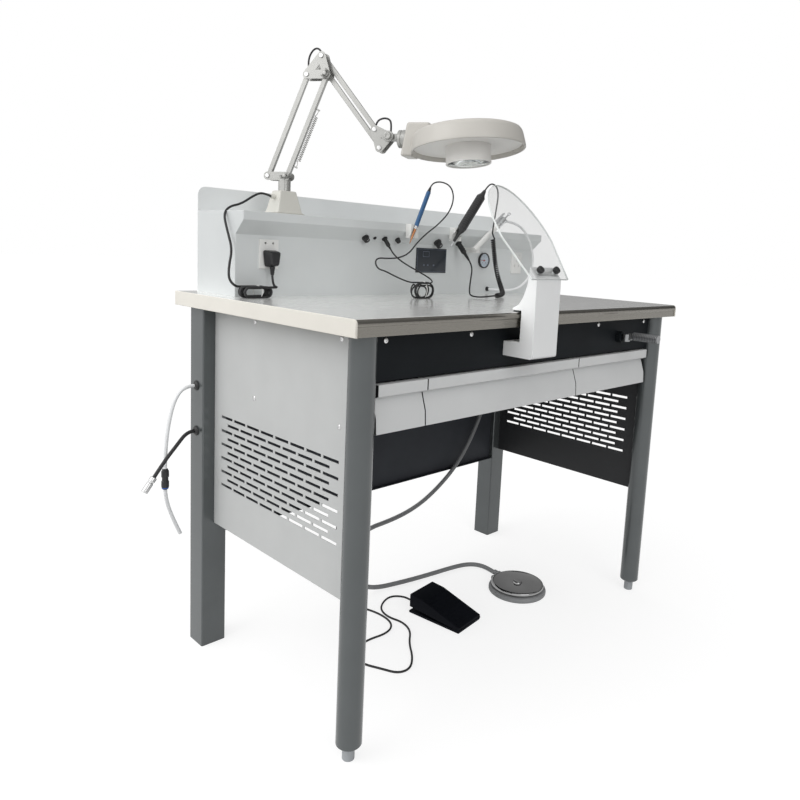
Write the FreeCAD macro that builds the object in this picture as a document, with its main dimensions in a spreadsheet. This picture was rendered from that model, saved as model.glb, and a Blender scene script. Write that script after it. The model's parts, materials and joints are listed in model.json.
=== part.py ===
import FreeCAD, Part
import math
import os
import re
import Sketcher

Vec = FreeCAD.Vector
doc = FreeCAD.newDocument("dental_bench")
dims = doc.addObject("Spreadsheet::Sheet", "dims")
places = doc.addObject("Spreadsheet::Sheet", "places")

# Driving sizes in millimetres and degrees
SIZES = (
    # worktop
    ("worktop_width", 1100), ("worktop_depth", 621), ("worktop_height", 800), ("worktop_thickness", 30),
    ("end_plate", 4), ("steel_gauge", 1.5), ("nose_drop", 12), ("nose_step", 2), ("nose_radius", 8),
    # legs and feet
    ("leg_side", 58), ("leg_inset", 20), ("leg_wall", 2), ("front_leg_setback", 15), ("tube_radius", 24),
    ("cap_height", 10), ("cap_taper", 3), ("side_gap", 0.5),
    ("rear_leg_setback", 32), ("foot_height", 28), ("foot_radius", 11.5), ("stud_radius", 4),
    ("stud_gap", 0.2), ("running_gap", 0.3), ("pin_gap", 0.1),
    # panels
    ("panel_gauge", 1.5), ("side_panel_bottom", 288), ("slot_length", 46), ("slot_height", 6),
    ("slot_pitch", 52), ("slot_rise", 15.1), ("slot_drop", 233), ("back_panel_bottom", 262),
    ("back_panel_step", 14), ("back_flange", 15), ("apron_setback", 38), ("apron_height", 84),
    ("screw_radius", 5), ("screw_head", 2), ("rail_side", 25),
    # drawers
    ("drawer_gap", 3), ("drawer_clear", 4), ("drawer_setback", 31), ("drawer_front_height", 88),
    ("strip_height", 21), ("groove_depth", 15), ("groove_height", 6), ("slant_height", 33),
    ("slant_back", 4), ("lip_back", 2), ("drawer_front_depth", 17), ("left_drawer", 118),
    ("right_drawer", 321), ("tray_inset", 14), ("tray_depth", 360), ("tray_gauge", 1.2),
    ("tray_raise", 4), ("tray_drop", 14), ("runner_gauge", 2), ("runner_reach", 12.5),
    ("tray_lip", 9), ("hanger_start", 60), ("hanger_depth", 380),
    # console
    ("console_width", 1006), ("console_setback", 450), ("console_depth", 159), ("console_height", 175),
    ("console_face_height", 128), ("soffit_reach", 31), ("soffit_rise", 29), ("console_gauge", 2),
    ("back_plate_rise", 53), ("back_plate_radius", 18), ("control_step", 13),
    ("socket_width", 46), ("socket_height", 62), ("socket_thick", 4), ("socket_from_end", 78),
    ("socket_centre", 89), ("pin_hole", 2.4), ("pin_spread", 18.5), ("pin_rise", 23),
    ("panel_left", 11), ("panel_width", 110), ("panel_height", 63), ("control_rise", 56),
    ("panel_thick", 3), ("gauge_x", 274.5), ("gauge_rise", 93), ("gauge_radius", 21.5),
    ("gauge_depth", 8), ("gauge_recess", 4), ("gauge_rim", 2.5),
    ("dial_knob_x", -168), ("dial_knob_radius", 9), ("dial_knob_depth", 12),
    ("speed_knob_x", 76), ("speed_knob_radius", 10.5), ("speed_knob_depth", 17),
    ("pen_jack_x", -107), ("tool_jack_x", 158), ("spare_jack_x", -65), ("button_x", -138),
    ("jack_radius", 7), ("jack_depth", 3), ("air_port_x", 298), ("air_port_rise", 13),
    ("air_port_length", 8),
    # tools
    ("tool_clear", 19), ("pen_tip_x", -61), ("tool_tip_rise", 127), ("pen_length", 152),
    ("pen_lean", 24), ("pen_radius", 5.5), ("handpiece_tip_x", 86.3), ("handpiece_length", 194),
    ("handpiece_lean", 38.7), ("handpiece_radius", 12), ("gun_x", 177), ("gun_rise", 121),
    ("gun_lean", 53.5), ("gun_tube_length", 114), ("gun_tube_radius", 7), ("gun_nozzle", 5),
    ("gun_body_radius", 9), ("gun_body_length", 34), ("lever_pin_radius", 1.3),
    # task lamp
    ("lamp_from_end", 158), ("lamp_back", 65), ("lamp_yaw", 60), ("lamp_base_height", 54),
    ("lamp_base_width", 66), ("lamp_base_depth", 52), ("lamp_base_top", 42), ("lamp_base_top_depth", 34),
    ("pivot_rise", 86), ("rear_pivot", 36), ("pivot_spread", 45), ("lower_length", 233),
    ("lower_angle", 67.5), ("upper_length", 198), ("upper_drop", 50.5), ("elbow_back", 12),
    ("elbow_rise", 38), ("bar_radius", 5), ("bar_thick", 8), ("pin_radius", 3), ("plate_radius", 9),
    ("plate_gauge", 2), ("plate_reach", 12), ("tilt_out", 20), ("tilt_rise", 24), ("head_out", 168.5),
    ("head_drop", 7.5), ("head_tilt", 6), ("head_roll", 3), ("head_radius", 119), ("head_top_radius", 111),
    ("head_height", 39), ("head_wall", 3), ("lens_radius", 44), ("lens_drop", 27), ("mount_width", 54),
    ("mount_drop", 42), ("mount_rise", 27), ("mount_start", 31), ("mount_end", 92), ("mount_slant", 12),
    ("boss_start", 19), ("boss_radius", 19), ("wing_radius", 9), ("wing_length", 12),
    ("spring_start", 26), ("spring_length", 132), ("spring_step", 12), ("gland_reach", 2), ("gland_rise", 40),
    # suction post and shield
    ("post_x", -90), ("post_width", 83), ("post_reach", 36), ("post_drop", 61), ("post_arm", 30),
    ("post_clear", 2), ("hook_reach", 19), ("hook_thick", 5), ("pad_thick", 3), ("post_rise", 66),
    ("shield_lean", 38.5), ("shield_seat", 32.5), ("shield_thick", 4), ("shield_base", 61),
    ("shield_half", 82), ("shield_straight", 100), ("shield_arch", 138), ("shield_knob_step", 18),
    ("shield_knob_spread", 54), ("shield_knob_radius", 7.5), ("shield_knob_depth", 10),
    # floor controls and knee lever
    ("pedal_x", -7), ("pedal_y", 269.5), ("pedal_turn", 7.5), ("pedal_width", 94), ("pedal_length", 153),
    ("pedal_low", 14), ("pedal_high", 50), ("pedal_plate", 6), ("pedal_lift", 10),
    ("pedal_hinge_radius", 1.6),
    ("foot_x", 247), ("foot_y", 235), ("foot_control_radius", 78), ("foot_base_height", 13),
    ("disc_radius", 71), ("disc_height", 12), ("disc_travel", 4), ("hose_port_turn", 12),
    ("hose_radius", 6), ("hose_port_length", 22), ("coupling_inset", 40), ("coupling_step", 11),
    ("coupling_length", 70),
    ("knee_x", 325), ("knee_drop", 47), ("knee_boss", 14), ("knee_reach", 68), ("knee_grip_radius", 10),
    ("knee_grip_length", 66),
    # rear leg fittings
    ("grommet_radius", 11), ("grommet_out", 6), ("air_grommet_drop", 172), ("mains_grommet_drop", 273),
    ("supply_radius", 4),
)

# Positions worked out from the driving sizes
FORMULAS = (
    ("front", "(knee_reach - worktop_depth) / 2"),
    ("rear", "front + worktop_depth"),
    ("under", "worktop_height - worktop_thickness"),
    ("leg_out", "worktop_width / 2 - leg_inset"),
    ("leg_in", "leg_out - leg_side"),
    ("front_leg_front", "front + front_leg_setback"),
    ("front_leg_y", "front_leg_front + tube_radius"),
    ("front_leg_back", "front_leg_y + tube_radius"),
    ("rear_leg_back", "rear - rear_leg_setback"),
    ("rear_leg_front", "rear_leg_back - leg_side"),
    ("panel_x", "leg_out - leg_side / 2"),
    ("panel_span", "rear_leg_front - front_leg_back"),
    ("side_rise", "under - side_panel_bottom"),
    ("back_panel_y", "rear_leg_front + back_panel_step"),
    ("apron_y", "front + apron_setback"),
    ("drawer_y", "front + drawer_setback"),
    ("drawer_top", "under - apron_height - drawer_clear"),
    ("drawer_bottom", "drawer_top - drawer_front_height"),
    ("drawer_back", "drawer_y + drawer_front_depth"),
    ("middle_drawer", "2 * leg_in - left_drawer - right_drawer - 4 * drawer_gap"),
    ("runner_top", "drawer_top - tray_drop - running_gap"),
    ("console_y", "front + console_setback"),
    ("console_back", "console_y + console_depth"),
    ("console_top", "worktop_height + console_height"),
    ("knee_z", "worktop_height + console_face_height"),
    ("lip_y", "console_y - soffit_reach"),
    ("lip_z", "knee_z + soffit_rise"),
    ("soffit_length", "sqrt(soffit_reach * soffit_reach + soffit_rise * soffit_rise)"),
    ("soffit_turn", "180 - atan2(soffit_rise; soffit_reach) / 1 deg"),
    ("control_y", "console_y - control_step * soffit_reach / soffit_length"),
    ("control_z", "knee_z + control_step * soffit_rise / soffit_length"),
    ("socket_x", "console_width / 2 - socket_from_end"),
    ("socket_z", "worktop_height + socket_centre"),
    ("gauge_z", "worktop_height + gauge_rise"),
    ("tools_y", "lip_y - tool_clear"),
    ("tool_tip_z", "worktop_height + tool_tip_rise"),
    ("gun_z", "worktop_height + gun_rise"),
    ("lamp_x", "lamp_from_end - console_width / 2"),
    ("lamp_y", "console_y + lamp_back"),
    ("lamp_base_z", "console_top + lamp_base_height"),
    ("pivot_z", "console_top + pivot_rise"),
    ("front_pivot", "pivot_spread - rear_pivot"),
    ("elbow_x", "front_pivot + lower_length * cos(lower_angle)"),
    ("elbow_z", "pivot_z + lower_length * sin(lower_angle)"),
    ("wrist_x", "elbow_x + upper_length * cos(upper_drop)"),
    ("wrist_z", "elbow_z - upper_length * sin(upper_drop)"),
    ("tilt_x", "wrist_x + tilt_out"),
    ("tilt_z", "wrist_z + tilt_rise"),
    ("head_x", "tilt_x + head_out"),
    ("head_z", "tilt_z - head_drop"),
    ("post_front", "front - post_reach"),
    ("post_bottom", "under - post_drop"),
    ("hook_z", "worktop_height + pad_thick"),
    ("seat_z", "worktop_height + post_rise"),
    ("seat_back", "post_front + shield_seat * sin(shield_lean)"),
    ("seat_top", "seat_z + shield_seat * cos(shield_lean)"),
    ("pedal_cy", "front + pedal_y"),
    ("foot_cy", "front + foot_y"),
    ("knee_z2", "under - knee_drop"),
    ("air_grommet_z", "under - air_grommet_drop"),
    ("mains_grommet_z", "under - mains_grommet_drop"),
    ("grommet_y", "rear_leg_back - leg_side / 2"),
)

SIZE_NAMES = {name for name, number in SIZES}
PLACE_NAMES = {name for name, text in FORMULAS}


def linked(text):
    def prefix(match):
        word = match.group(0)
        if word in SIZE_NAMES:
            return "dims." + word
        if word in PLACE_NAMES:
            return "places." + word
        return word
    return re.sub(r"[a-z_][a-z_0-9]*", prefix, str(text))


for row, (name, number) in enumerate(SIZES, 1):
    dims.set("A%d" % row, str(number))
    dims.setAlias("A%d" % row, name)
for row, (name, text) in enumerate(FORMULAS, 1):
    places.set("A%d" % row, "=" + linked(text))
    places.setAlias("A%d" % row, name)
doc.recompute()


def number(name):
    sheet = dims if name in SIZE_NAMES else places
    found = sheet.get(name)
    return float(getattr(found, "Value", found))


def bind(item, prop, text):
    item.setExpression(prop, linked(text))


def at(item, place):
    for axis, text in zip("xyz", place):
        bind(item, "Placement.Base." + axis, text)
    return item


def turn(item, axis, angle):
    item.Placement.Rotation = FreeCAD.Rotation(Vec(*axis), 30)
    bind(item, "Placement.Rotation.Angle", angle)
    return item


def box(name, size, corner):
    item = doc.addObject("Part::Box", name)
    for prop, text in zip(("Length", "Width", "Height"), size):
        bind(item, prop, text)
    return at(item, corner)


AXIS_TURNS = {"x": ((0, 1, 0), 90), "y": ((-1, 0, 0), 90), "-y": ((1, 0, 0), 90), "-x": ((0, -1, 0), 90)}


def rod(name, radius, length, start, axis="z"):
    item = doc.addObject("Part::Cylinder", name)
    bind(item, "Radius", radius)
    bind(item, "Height", length)
    if axis in AXIS_TURNS:
        around, angle = AXIS_TURNS[axis]
        item.Placement.Rotation = FreeCAD.Rotation(Vec(*around), angle)
    return at(item, start)


def fuse(name, *items):
    item = doc.addObject("Part::MultiFuse", name)
    item.Shapes = list(items)
    return item


def group(name, *items):
    item = doc.addObject("Part::Compound", name)
    item.Links = list(items)
    return item


def cut(name, base, *tools):
    item = doc.addObject("Part::Cut", name)
    item.Base = base
    item.Tool = tools[0] if len(tools) == 1 else fuse(name + "_cuts", *tools)
    return item


def mirrored(name, source):
    item = doc.addObject("Part::Mirroring", name)
    item.Source = source
    item.Base = (0, 0, 0)
    item.Normal = (1, 0, 0)
    return item


def plane_sketch(body, plane):
    sketch = body.newObject("Sketcher::SketchObject", body.Name + "_sketch")
    face = [item for item in body.Origin.OriginFeatures if item.Role == plane][0]
    sketch.AttachmentSupport = [(face, "")]
    sketch.MapMode = "FlatFace"
    return sketch


def figure(text):
    places.set("C1", "=" + linked(text))
    doc.recompute([places])
    found = places.get("C1")
    return float(getattr(found, "Value", found))


def closed_outline(sketch, points):
    spots = [Vec(figure(x), figure(y), 0) for x, y in points]
    count = len(spots)
    for step in range(count):
        sketch.addGeometry(Part.LineSegment(spots[step], spots[(step + 1) % count]), False)
    for step in range(count):
        sketch.addConstraint(Sketcher.Constraint("Coincident", step, 2, (step + 1) % count, 1))
    for step, (x, y) in enumerate(points):
        across = sketch.addConstraint(Sketcher.Constraint("DistanceX", -1, 1, step, 1, spots[step].x))
        sketch.setExpression("Constraints[%d]" % across, linked(x))
        upward = sketch.addConstraint(Sketcher.Constraint("DistanceY", -1, 1, step, 1, spots[step].y))
        sketch.setExpression("Constraints[%d]" % upward, linked(y))


def padded(name, plane, points, length):
    body = doc.addObject("PartDesign::Body", name)
    sketch = plane_sketch(body, plane)
    closed_outline(sketch, points)
    pad = body.newObject("PartDesign::Pad", name + "_pad")
    pad.Profile = sketch
    bind(pad, "Length", length)
    doc.recompute()
    return body


def turned(name, points):
    body = doc.addObject("PartDesign::Body", name)
    sketch = plane_sketch(body, "XZ_Plane")
    closed_outline(sketch, points)
    spin = body.newObject("PartDesign::Revolution", name + "_turn")
    spin.Profile = sketch
    spin.ReferenceAxis = (sketch, ["V_Axis"])
    spin.Angle = 360
    doc.recompute()
    return body


def rounded(body, wanted, radius):
    tip = body.Tip
    edges = []
    for place, edge in enumerate(tip.Shape.Edges, 1):
        if wanted(edge.CenterOfMass, edge.tangentAt(edge.FirstParameter)):
            edges.append("Edge%d" % place)
    fillet = body.newObject("PartDesign::Fillet", body.Name + "_round")
    fillet.Base = (tip, edges)
    bind(fillet, "Radius", radius)
    doc.recompute()
    return body


NODES = {}


def node(name, item):
    item.Label = name
    NODES[name] = item
    return item


# Legs: square tubes at the rear, round capped tubes on screwed feet at the front
def rear_leg(side):
    outer = box("rear_tube", ("leg_side", "leg_side", "under"), ("-leg_out", "rear_leg_front", "0"))
    inner = box("rear_bore", ("leg_side - 2 * leg_wall", "leg_side - 2 * leg_wall", "under"),
                ("leg_wall - leg_out", "rear_leg_front + leg_wall", "leg_wall"))
    leg = cut("rear_leg", outer, inner)
    return leg if side < 0 else mirrored("rear_leg_right", leg)


def front_leg(side):
    tip = doc.addObject("Part::Cone", "leg_tip")
    bind(tip, "Radius1", "tube_radius - cap_taper")
    bind(tip, "Radius2", "tube_radius")
    bind(tip, "Height", "cap_taper")
    at(tip, ("-panel_x", "front_leg_y", "foot_height"))
    tube = rod("leg_tube", "tube_radius", "under - foot_height - cap_taper",
               ("-panel_x", "front_leg_y", "foot_height + cap_taper"))
    bore = rod("leg_bore", "tube_radius - leg_wall", "under - foot_height",
               ("-panel_x", "front_leg_y", "foot_height + cap_height"))
    stud_hole = rod("stud_hole", "stud_radius + stud_gap", "cap_height + 4",
                    ("-panel_x", "front_leg_y", "foot_height - 2"))
    leg = cut("front_leg", fuse("front_section", tip, tube), bore, stud_hole)
    return leg if side < 0 else mirrored("front_leg_right", leg)


def foot(side):
    x = "-panel_x" if side < 0 else "panel_x"
    spot = (x, "front_leg_y", "0")
    pad = rod("foot_pad", "foot_radius", "foot_height", spot)
    stud = rod("foot_stud", "stud_radius", "foot_height + 12", spot)
    return fuse("foot", pad, stud)


node("rear_legs", group("rear_legs", rear_leg(-1), rear_leg(1)))
node("front_legs", group("front_legs", front_leg(-1), front_leg(1)))
node("levelling_feet", group("levelling_feet", foot(-1), foot(1)))

# Side panels with staggered rows of slots, back panel, apron and screws
sheet = box("side_sheet", ("panel_gauge", "panel_span", "side_rise"),
            ("-panel_x - panel_gauge / 2", "front_leg_back", "side_panel_bottom"))
slots = []
for row in range(11):
    count = 8 if row % 2 == 0 else 7
    for place in range(count):
        middle = "front_leg_back + panel_span / 2 + (%.1f) * slot_pitch" % (place - (count - 1) / 2)
        slots.append(box("slot", ("4 * panel_gauge", "slot_length", "slot_height"),
                         ("-panel_x - 2 * panel_gauge", middle + " - slot_length / 2",
                          "under - slot_drop - %d * slot_rise - slot_height / 2" % row)))
left_panel = cut("left_panel", sheet, group("slot_set", *slots))
node("side_panels", group("side_panels", left_panel, mirrored("right_panel", left_panel)))

back_sheet = box("back_sheet", ("2 * leg_in", "panel_gauge", "under - back_panel_bottom"),
                 ("-leg_in", "back_panel_y", "back_panel_bottom"))
back_fold = box("back_fold", ("2 * leg_in", "back_flange", "panel_gauge"),
                ("-leg_in", "back_panel_y - back_flange", "back_panel_bottom"))
node("back_panel", fuse("back_panel", back_sheet, back_fold))

APRON_HALF = "(panel_x - tube_radius - side_gap)"
apron_sheet = box("apron_sheet", ("2 * " + APRON_HALF, "panel_gauge", "apron_height"),
                  ("-" + APRON_HALF, "apron_y", "under - apron_height"))
knee_boss = rod("knee_boss", "knee_boss", "knee_boss", ("knee_x", "apron_y", "knee_z2"), "-y")
node("apron", group("apron", apron_sheet, knee_boss))

screws = []
for depth in (31, "panel_span - 160"):
    for drop in (14, 169):
        screws.append(rod("side_screw", "screw_radius", "screw_head",
                          ("-panel_x - panel_gauge / 2", "front_leg_back + %s" % depth, "under - %d" % drop),
                          "-x"))
screws.append(mirrored("right_screws", group("left_screws", *screws)))
for place in ("21 - leg_in", "-leg_in / 2 + 6", "leg_in / 2 - 6", "leg_in - 21"):
    screws.append(rod("apron_screw", "screw_radius", "screw_head", (place, "apron_y", "under - 13"), "-y"))
node("panel_screws", group("panel_screws", *screws))

# Frame under the worktop: rails, drawer hangers with their runner strips, hose coupling
side_rail = box("side_rail", ("rail_side", "panel_span", "rail_side"),
                ("panel_gauge / 2 - panel_x", "front_leg_back", "under - rail_side"))
rear_rail = box("rear_rail", ("2 * leg_in", "rail_side", "rail_side"),
                ("-leg_in", "back_panel_y + panel_gauge", "under - rail_side"))
frame = [side_rail, mirrored("right_rail", side_rail), rear_rail]


def hanger(line, left, right):
    tall = "under - runner_top + runner_gauge"
    plate = box("hanger_plate", ("runner_gauge", "hanger_depth", tall),
                (line + " - runner_gauge / 2", "front + hanger_start", "runner_top - runner_gauge"))
    parts = [plate]
    for wanted, start in ((left, line + " - runner_gauge / 2 - runner_reach"), (right, line)):
        if wanted:
            size = ("runner_reach + runner_gauge / 2", "hanger_depth", "runner_gauge")
            corner = (start, "front + hanger_start", "runner_top - runner_gauge")
            parts.append(box("runner_strip", size, corner))
    return fuse("hanger", *parts)


LEFT_LINE = "runner_gauge / 2 - leg_in"
FIRST_LINE = "1.5 * drawer_gap + left_drawer - leg_in"
SECOND_LINE = "leg_in - right_drawer - 1.5 * drawer_gap"
RIGHT_LINE = "leg_in - runner_gauge / 2"
frame.append(hanger(LEFT_LINE, False, True))
frame.append(hanger(FIRST_LINE, True, True))
frame.append(hanger(SECOND_LINE, True, True))
frame.append(hanger(RIGHT_LINE, True, False))
COUPLING_FOOT = ("leg_in - coupling_inset", "rear_leg_front - coupling_step", "under - coupling_length")
frame.append(rod("hose_coupling", "hose_radius + 3", "coupling_length", COUPLING_FOOT))
node("top_frame", group("top_frame", *frame))

# Worktop: board with ivory ends, and the steel skin with its rolled front edge
inner_width = "worktop_width - 2 * end_plate"
CORE_FRONT, CORE_TOP = "front + nose_step + steel_gauge", "worktop_height - steel_gauge"
CORE_LOW, CORE_HIGH = (CORE_FRONT, CORE_TOP + " - nose_radius"), (CORE_FRONT + " + nose_radius", CORE_TOP)
CORE_OUTLINE = ((CORE_FRONT, "under"), ("rear", "under"), ("rear", CORE_TOP), CORE_HIGH, CORE_LOW)
core = at(padded("board_core", "YZ_Plane", CORE_OUTLINE, inner_width),
          ("end_plate - worktop_width / 2", "0", "0"))
END_OUTLINE = (("front", "under"), ("rear", "under"), ("rear", "worktop_height"), ("front", "worktop_height"))
end = padded("board_end", "YZ_Plane", END_OUTLINE, "end_plate")
rounded(end, lambda spot, way: abs(way.x) > 0.9 and spot.y < 0 and spot.z > number("under") + 1,
        "nose_radius")
at(end, ("-worktop_width / 2", "0", "0"))
node("worktop_board", fuse("worktop_board", core, end, mirrored("board_end_right", end)))

SKIN_OUTLINE = (
    ("rear", "worktop_height"), ("front", "worktop_height"), ("front", "worktop_height - nose_drop"),
    ("front + nose_step", "worktop_height - nose_drop - 1"), ("front + nose_step", "under"),
    (CORE_FRONT, "under"), CORE_LOW, CORE_HIGH, ("rear", CORE_TOP))
skin = padded("steel_skin", "YZ_Plane", SKIN_OUTLINE, inner_width)
rounded(skin, lambda spot, way: abs(way.x) > 0.9 and abs(spot.y - number("front")) < 0.1
        and spot.z > number("worktop_height") - 0.1, "nose_radius")
at(skin, ("end_plate - worktop_width / 2", "0", "0"))
node("worktop_steel", skin)


# Drawers: folded front with a finger groove, and a tray hung on the runner strips by its side lips
def drawer(name, start, width):
    face = (
        ("drawer_y", "drawer_top"), ("drawer_y", "drawer_top - strip_height"),
        ("drawer_y + groove_depth", "drawer_top - strip_height - groove_height"),
        ("drawer_y + slant_back", "drawer_top - strip_height - groove_height - slant_height"),
        ("drawer_y + lip_back", "drawer_bottom"), ("drawer_back", "drawer_bottom"),
        ("drawer_back", "drawer_top"))
    front = at(padded(name + "_front", "YZ_Plane", face, width), (start, "0", "0"))
    tray_width = width + " - 2 * tray_inset"
    tall = "drawer_top - tray_drop + tray_gauge - drawer_bottom - tray_raise"
    floor = "drawer_bottom + tray_raise"
    outer = box(name + "_outer", (tray_width, "tray_depth", tall),
                (start + " + tray_inset", "drawer_back", floor))
    inner = box(name + "_inner", (tray_width + " - 2 * tray_gauge", "tray_depth - tray_gauge", tall),
                (start + " + tray_inset + tray_gauge", "drawer_back", floor + " + tray_gauge"))
    lips = []
    for edge in (start + " + tray_inset - tray_lip", start + " + " + width + " - tray_inset - tray_gauge"):
        lips.append(box(name + "_lip", ("tray_lip + tray_gauge", "tray_depth - 20", "tray_gauge"),
                        (edge, "drawer_back + 20", "drawer_top - tray_drop")))
    node(name, fuse(name, front, cut(name + "_tray", outer, inner), *lips))


drawer("drawer_left", "drawer_gap - leg_in", "left_drawer")
drawer("drawer_middle", "2 * drawer_gap + left_drawer - leg_in", "middle_drawer")
drawer("drawer_right", "leg_in - drawer_gap - right_drawer", "right_drawer")

# Console: folded housing open below, and the tall plate behind it
HOUSING = (("console_y", "worktop_height"), ("console_y", "knee_z"), ("lip_y", "lip_z"),
           ("lip_y", "console_top"), ("console_back", "console_top"), ("console_back", "worktop_height"))
INSIDE = (("console_y + console_gauge", "worktop_height"),
          ("console_y + console_gauge", "knee_z + 0.4 * console_gauge"),
          ("lip_y + console_gauge", "lip_z + 0.4 * console_gauge"),
          ("lip_y + console_gauge", "console_top - console_gauge"),
          ("console_back - console_gauge", "console_top - console_gauge"),
          ("console_back - console_gauge", "worktop_height"))
housing_body = at(padded("housing_body", "YZ_Plane", HOUSING, "console_width"),
                  ("-console_width / 2", "0", "0"))
housing_void = at(padded("housing_void", "YZ_Plane", INSIDE, "console_width - 2 * console_gauge"),
                  ("console_gauge - console_width / 2", "0", "0"))
plate_body = padded("back_plate", "YZ_Plane",
                    (("console_back", "worktop_height"), ("console_back + console_gauge", "worktop_height"),
                     ("console_back + console_gauge", "console_top + back_plate_rise"),
                     ("console_back", "console_top + back_plate_rise")), "console_width")
rounded(plate_body, lambda spot, way: abs(way.y) > 0.9 and spot.z > number("console_top"),
        "back_plate_radius")
at(plate_body, ("-console_width / 2", "0", "0"))
console_shell = cut("console_shell", housing_body, housing_void)
node("console_housing", group("console_housing", console_shell, plate_body))


# Socket plates with two round pin holes above three flat slots
def socket(side):
    centre = "-socket_x" if side < 0 else "socket_x"
    plate = box("socket_body", ("socket_width", "socket_thick", "socket_height"),
                (centre + " - socket_width / 2", "console_y - socket_thick", "socket_z - socket_height / 2"))
    holes = []
    for step in (-0.5, 0.5):
        mouth = ("%s + (%s) * pin_spread" % (centre, step), "console_y + 1", "socket_z + pin_rise")
        holes.append(rod("pin_hole", "pin_hole", "socket_thick + 2", mouth, "-y"))
    for step, rise, wide, tall in ((-9, -12, 2.4, 7), (9, -12, 2.4, 7), (0, 2, 2.4, 7)):
        holes.append(box("flat_slot", (str(wide), "socket_thick + 2", str(tall)),
                         ("%s + (%s) - %s / 2" % (centre, step, wide), "console_y - socket_thick - 1",
                          "socket_z + (%s)" % rise)))
    return cut("socket", plate, *holes)


node("socket_plates", group("socket_plates", socket(-1), socket(1)))
node("control_panel", box("control_panel", ("panel_width", "panel_thick", "panel_height"),
                          ("panel_left", "console_y - panel_thick", "worktop_height + control_rise")))


# Pieces standing square on the slanted soffit of the console
def on_soffit(name, x, radius, length, lift):
    item = doc.addObject("Part::Cylinder", name)
    bind(item, "Radius", radius)
    bind(item, "Height", length)
    turn(item, (1, 0, 0), "soffit_turn")
    return at(item, (x, "control_y - (%s) * soffit_rise / soffit_length" % lift,
                     "control_z - (%s) * soffit_reach / soffit_length" % lift))


def knob(name, x, radius, depth):
    skirt = on_soffit(name + "_skirt", x, radius, "0.3 * (%s)" % depth, "running_gap")
    grip = on_soffit(name + "_grip", x, "0.82 * (%s)" % radius, depth, "running_gap")
    node(name, fuse(name, skirt, grip))


knob("dial_knob", "dial_knob_x", "dial_knob_radius", "dial_knob_depth")
knob("speed_knob", "speed_knob_x", "speed_knob_radius", "speed_knob_depth")
jacks = []
JACKS = (("pen_jack_x", "jack_radius", "jack_depth"), ("tool_jack_x", "jack_radius + 2", "jack_depth"),
         ("spare_jack_x", "jack_radius", "jack_depth + 7"), ("button_x", "jack_radius - 2.5", "jack_depth"))
for x, radius, length in JACKS:
    jacks.append(on_soffit("jack", x, radius, length, "0"))
air_port_foot = ("air_port_x", "console_y", "worktop_height + air_port_rise")
jacks.append(rod("air_port", "supply_radius + 2.5", "air_port_length", air_port_foot, "-y"))
node("console_jacks", group("console_jacks", *jacks))

# Pressure gauge with its turning needle
gauge_case = rod("gauge_body", "gauge_radius", "gauge_depth", ("gauge_x", "console_y", "gauge_z"), "-y")
gauge_well = rod("gauge_well", "gauge_radius - gauge_rim", "gauge_depth",
                 ("gauge_x", "console_y - gauge_depth + gauge_recess", "gauge_z"), "-y")
node("gauge_case", cut("gauge_case", gauge_case, gauge_well))
NEEDLE_Y = "console_y - gauge_depth + gauge_recess - running_gap"
needle_hub = rod("needle_hub", "2.4", "1.6", ("gauge_x", NEEDLE_Y, "gauge_z"), "-y")
needle_bar = box("needle_bar", ("gauge_radius - gauge_rim - 4", "0.8", "1.4"),
                 ("gauge_x - gauge_radius + gauge_rim + 4", NEEDLE_Y + " - 1.4", "gauge_z - 0.7"))
node("gauge_needle", fuse("gauge_needle", needle_hub, needle_bar))


# Tools lie in one upright plane in front of the console lip, each leaning to the right
def leaning(item, x, z, lean):
    turn(item, (0, 1, 0), lean)
    return at(item, (x, "tools_y", z))


PEN_OUTLINE = (("0", "0"), ("1", "0"), ("2.4", "18"), ("3.2", "42"), ("pen_radius", "47"),
               ("pen_radius", "pen_length - 6"), ("pen_radius - 2", "pen_length"), ("0", "pen_length"))
node("wax_pen", leaning(turned("wax_pen", PEN_OUTLINE), "pen_tip_x", "tool_tip_z", "pen_lean"))
HANDPIECE_OUTLINE = (("0", "0"), ("1.2", "0"), ("1.2", "16"), ("3.5", "18"), ("5.5", "44"),
                     ("handpiece_radius - 2", "54"), ("handpiece_radius", "66"),
                     ("handpiece_radius", "handpiece_length - 24"),
                     ("handpiece_radius - 5", "handpiece_length - 12"), ("4", "handpiece_length"),
                     ("0", "handpiece_length"))
node("handpiece", leaning(turned("handpiece", HANDPIECE_OUTLINE), "handpiece_tip_x", "tool_tip_z",
                          "handpiece_lean"))


# Holders: half-round grooves on blocks at the console lip, and a slanted tube for the air gun
def groove_block(name, x, tip_x, lean, radius):
    block = box(name + "_block", ("26", "tool_clear", "34"), (x, "tools_y", "console_top - 34"))
    groove = doc.addObject("Part::Cylinder", name + "_groove")
    bind(groove, "Radius", radius)
    groove.Height = 160
    return cut(name, block, leaning(groove, tip_x, "tool_tip_z", lean))


pen_holder = groove_block("pen_holder", "pen_tip_x + 3", "pen_tip_x", "pen_lean", "pen_radius + running_gap")
tool_holder = groove_block("tool_holder", "handpiece_tip_x + 12", "handpiece_tip_x", "handpiece_lean",
                           "handpiece_radius + running_gap")
tube = doc.addObject("Part::Cylinder", "gun_tube")
bind(tube, "Radius", "gun_tube_radius")
bind(tube, "Height", "gun_tube_length")
bore = doc.addObject("Part::Cylinder", "gun_bore")
bind(bore, "Radius", "gun_nozzle + running_gap")
bind(bore, "Height", "gun_tube_length + 10")
gun_arm = box("gun_arm", ("16", "console_y - tools_y", "14"), ("gun_x + 8", "tools_y", "gun_z - 8"))
gun_holder = cut("gun_holder", fuse("gun_socket", leaning(tube, "gun_x", "gun_z", "gun_lean"), gun_arm),
                 leaning(bore, "gun_x + 6 * sin(gun_lean)", "gun_z + 6 * cos(gun_lean)", "gun_lean"))
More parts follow.
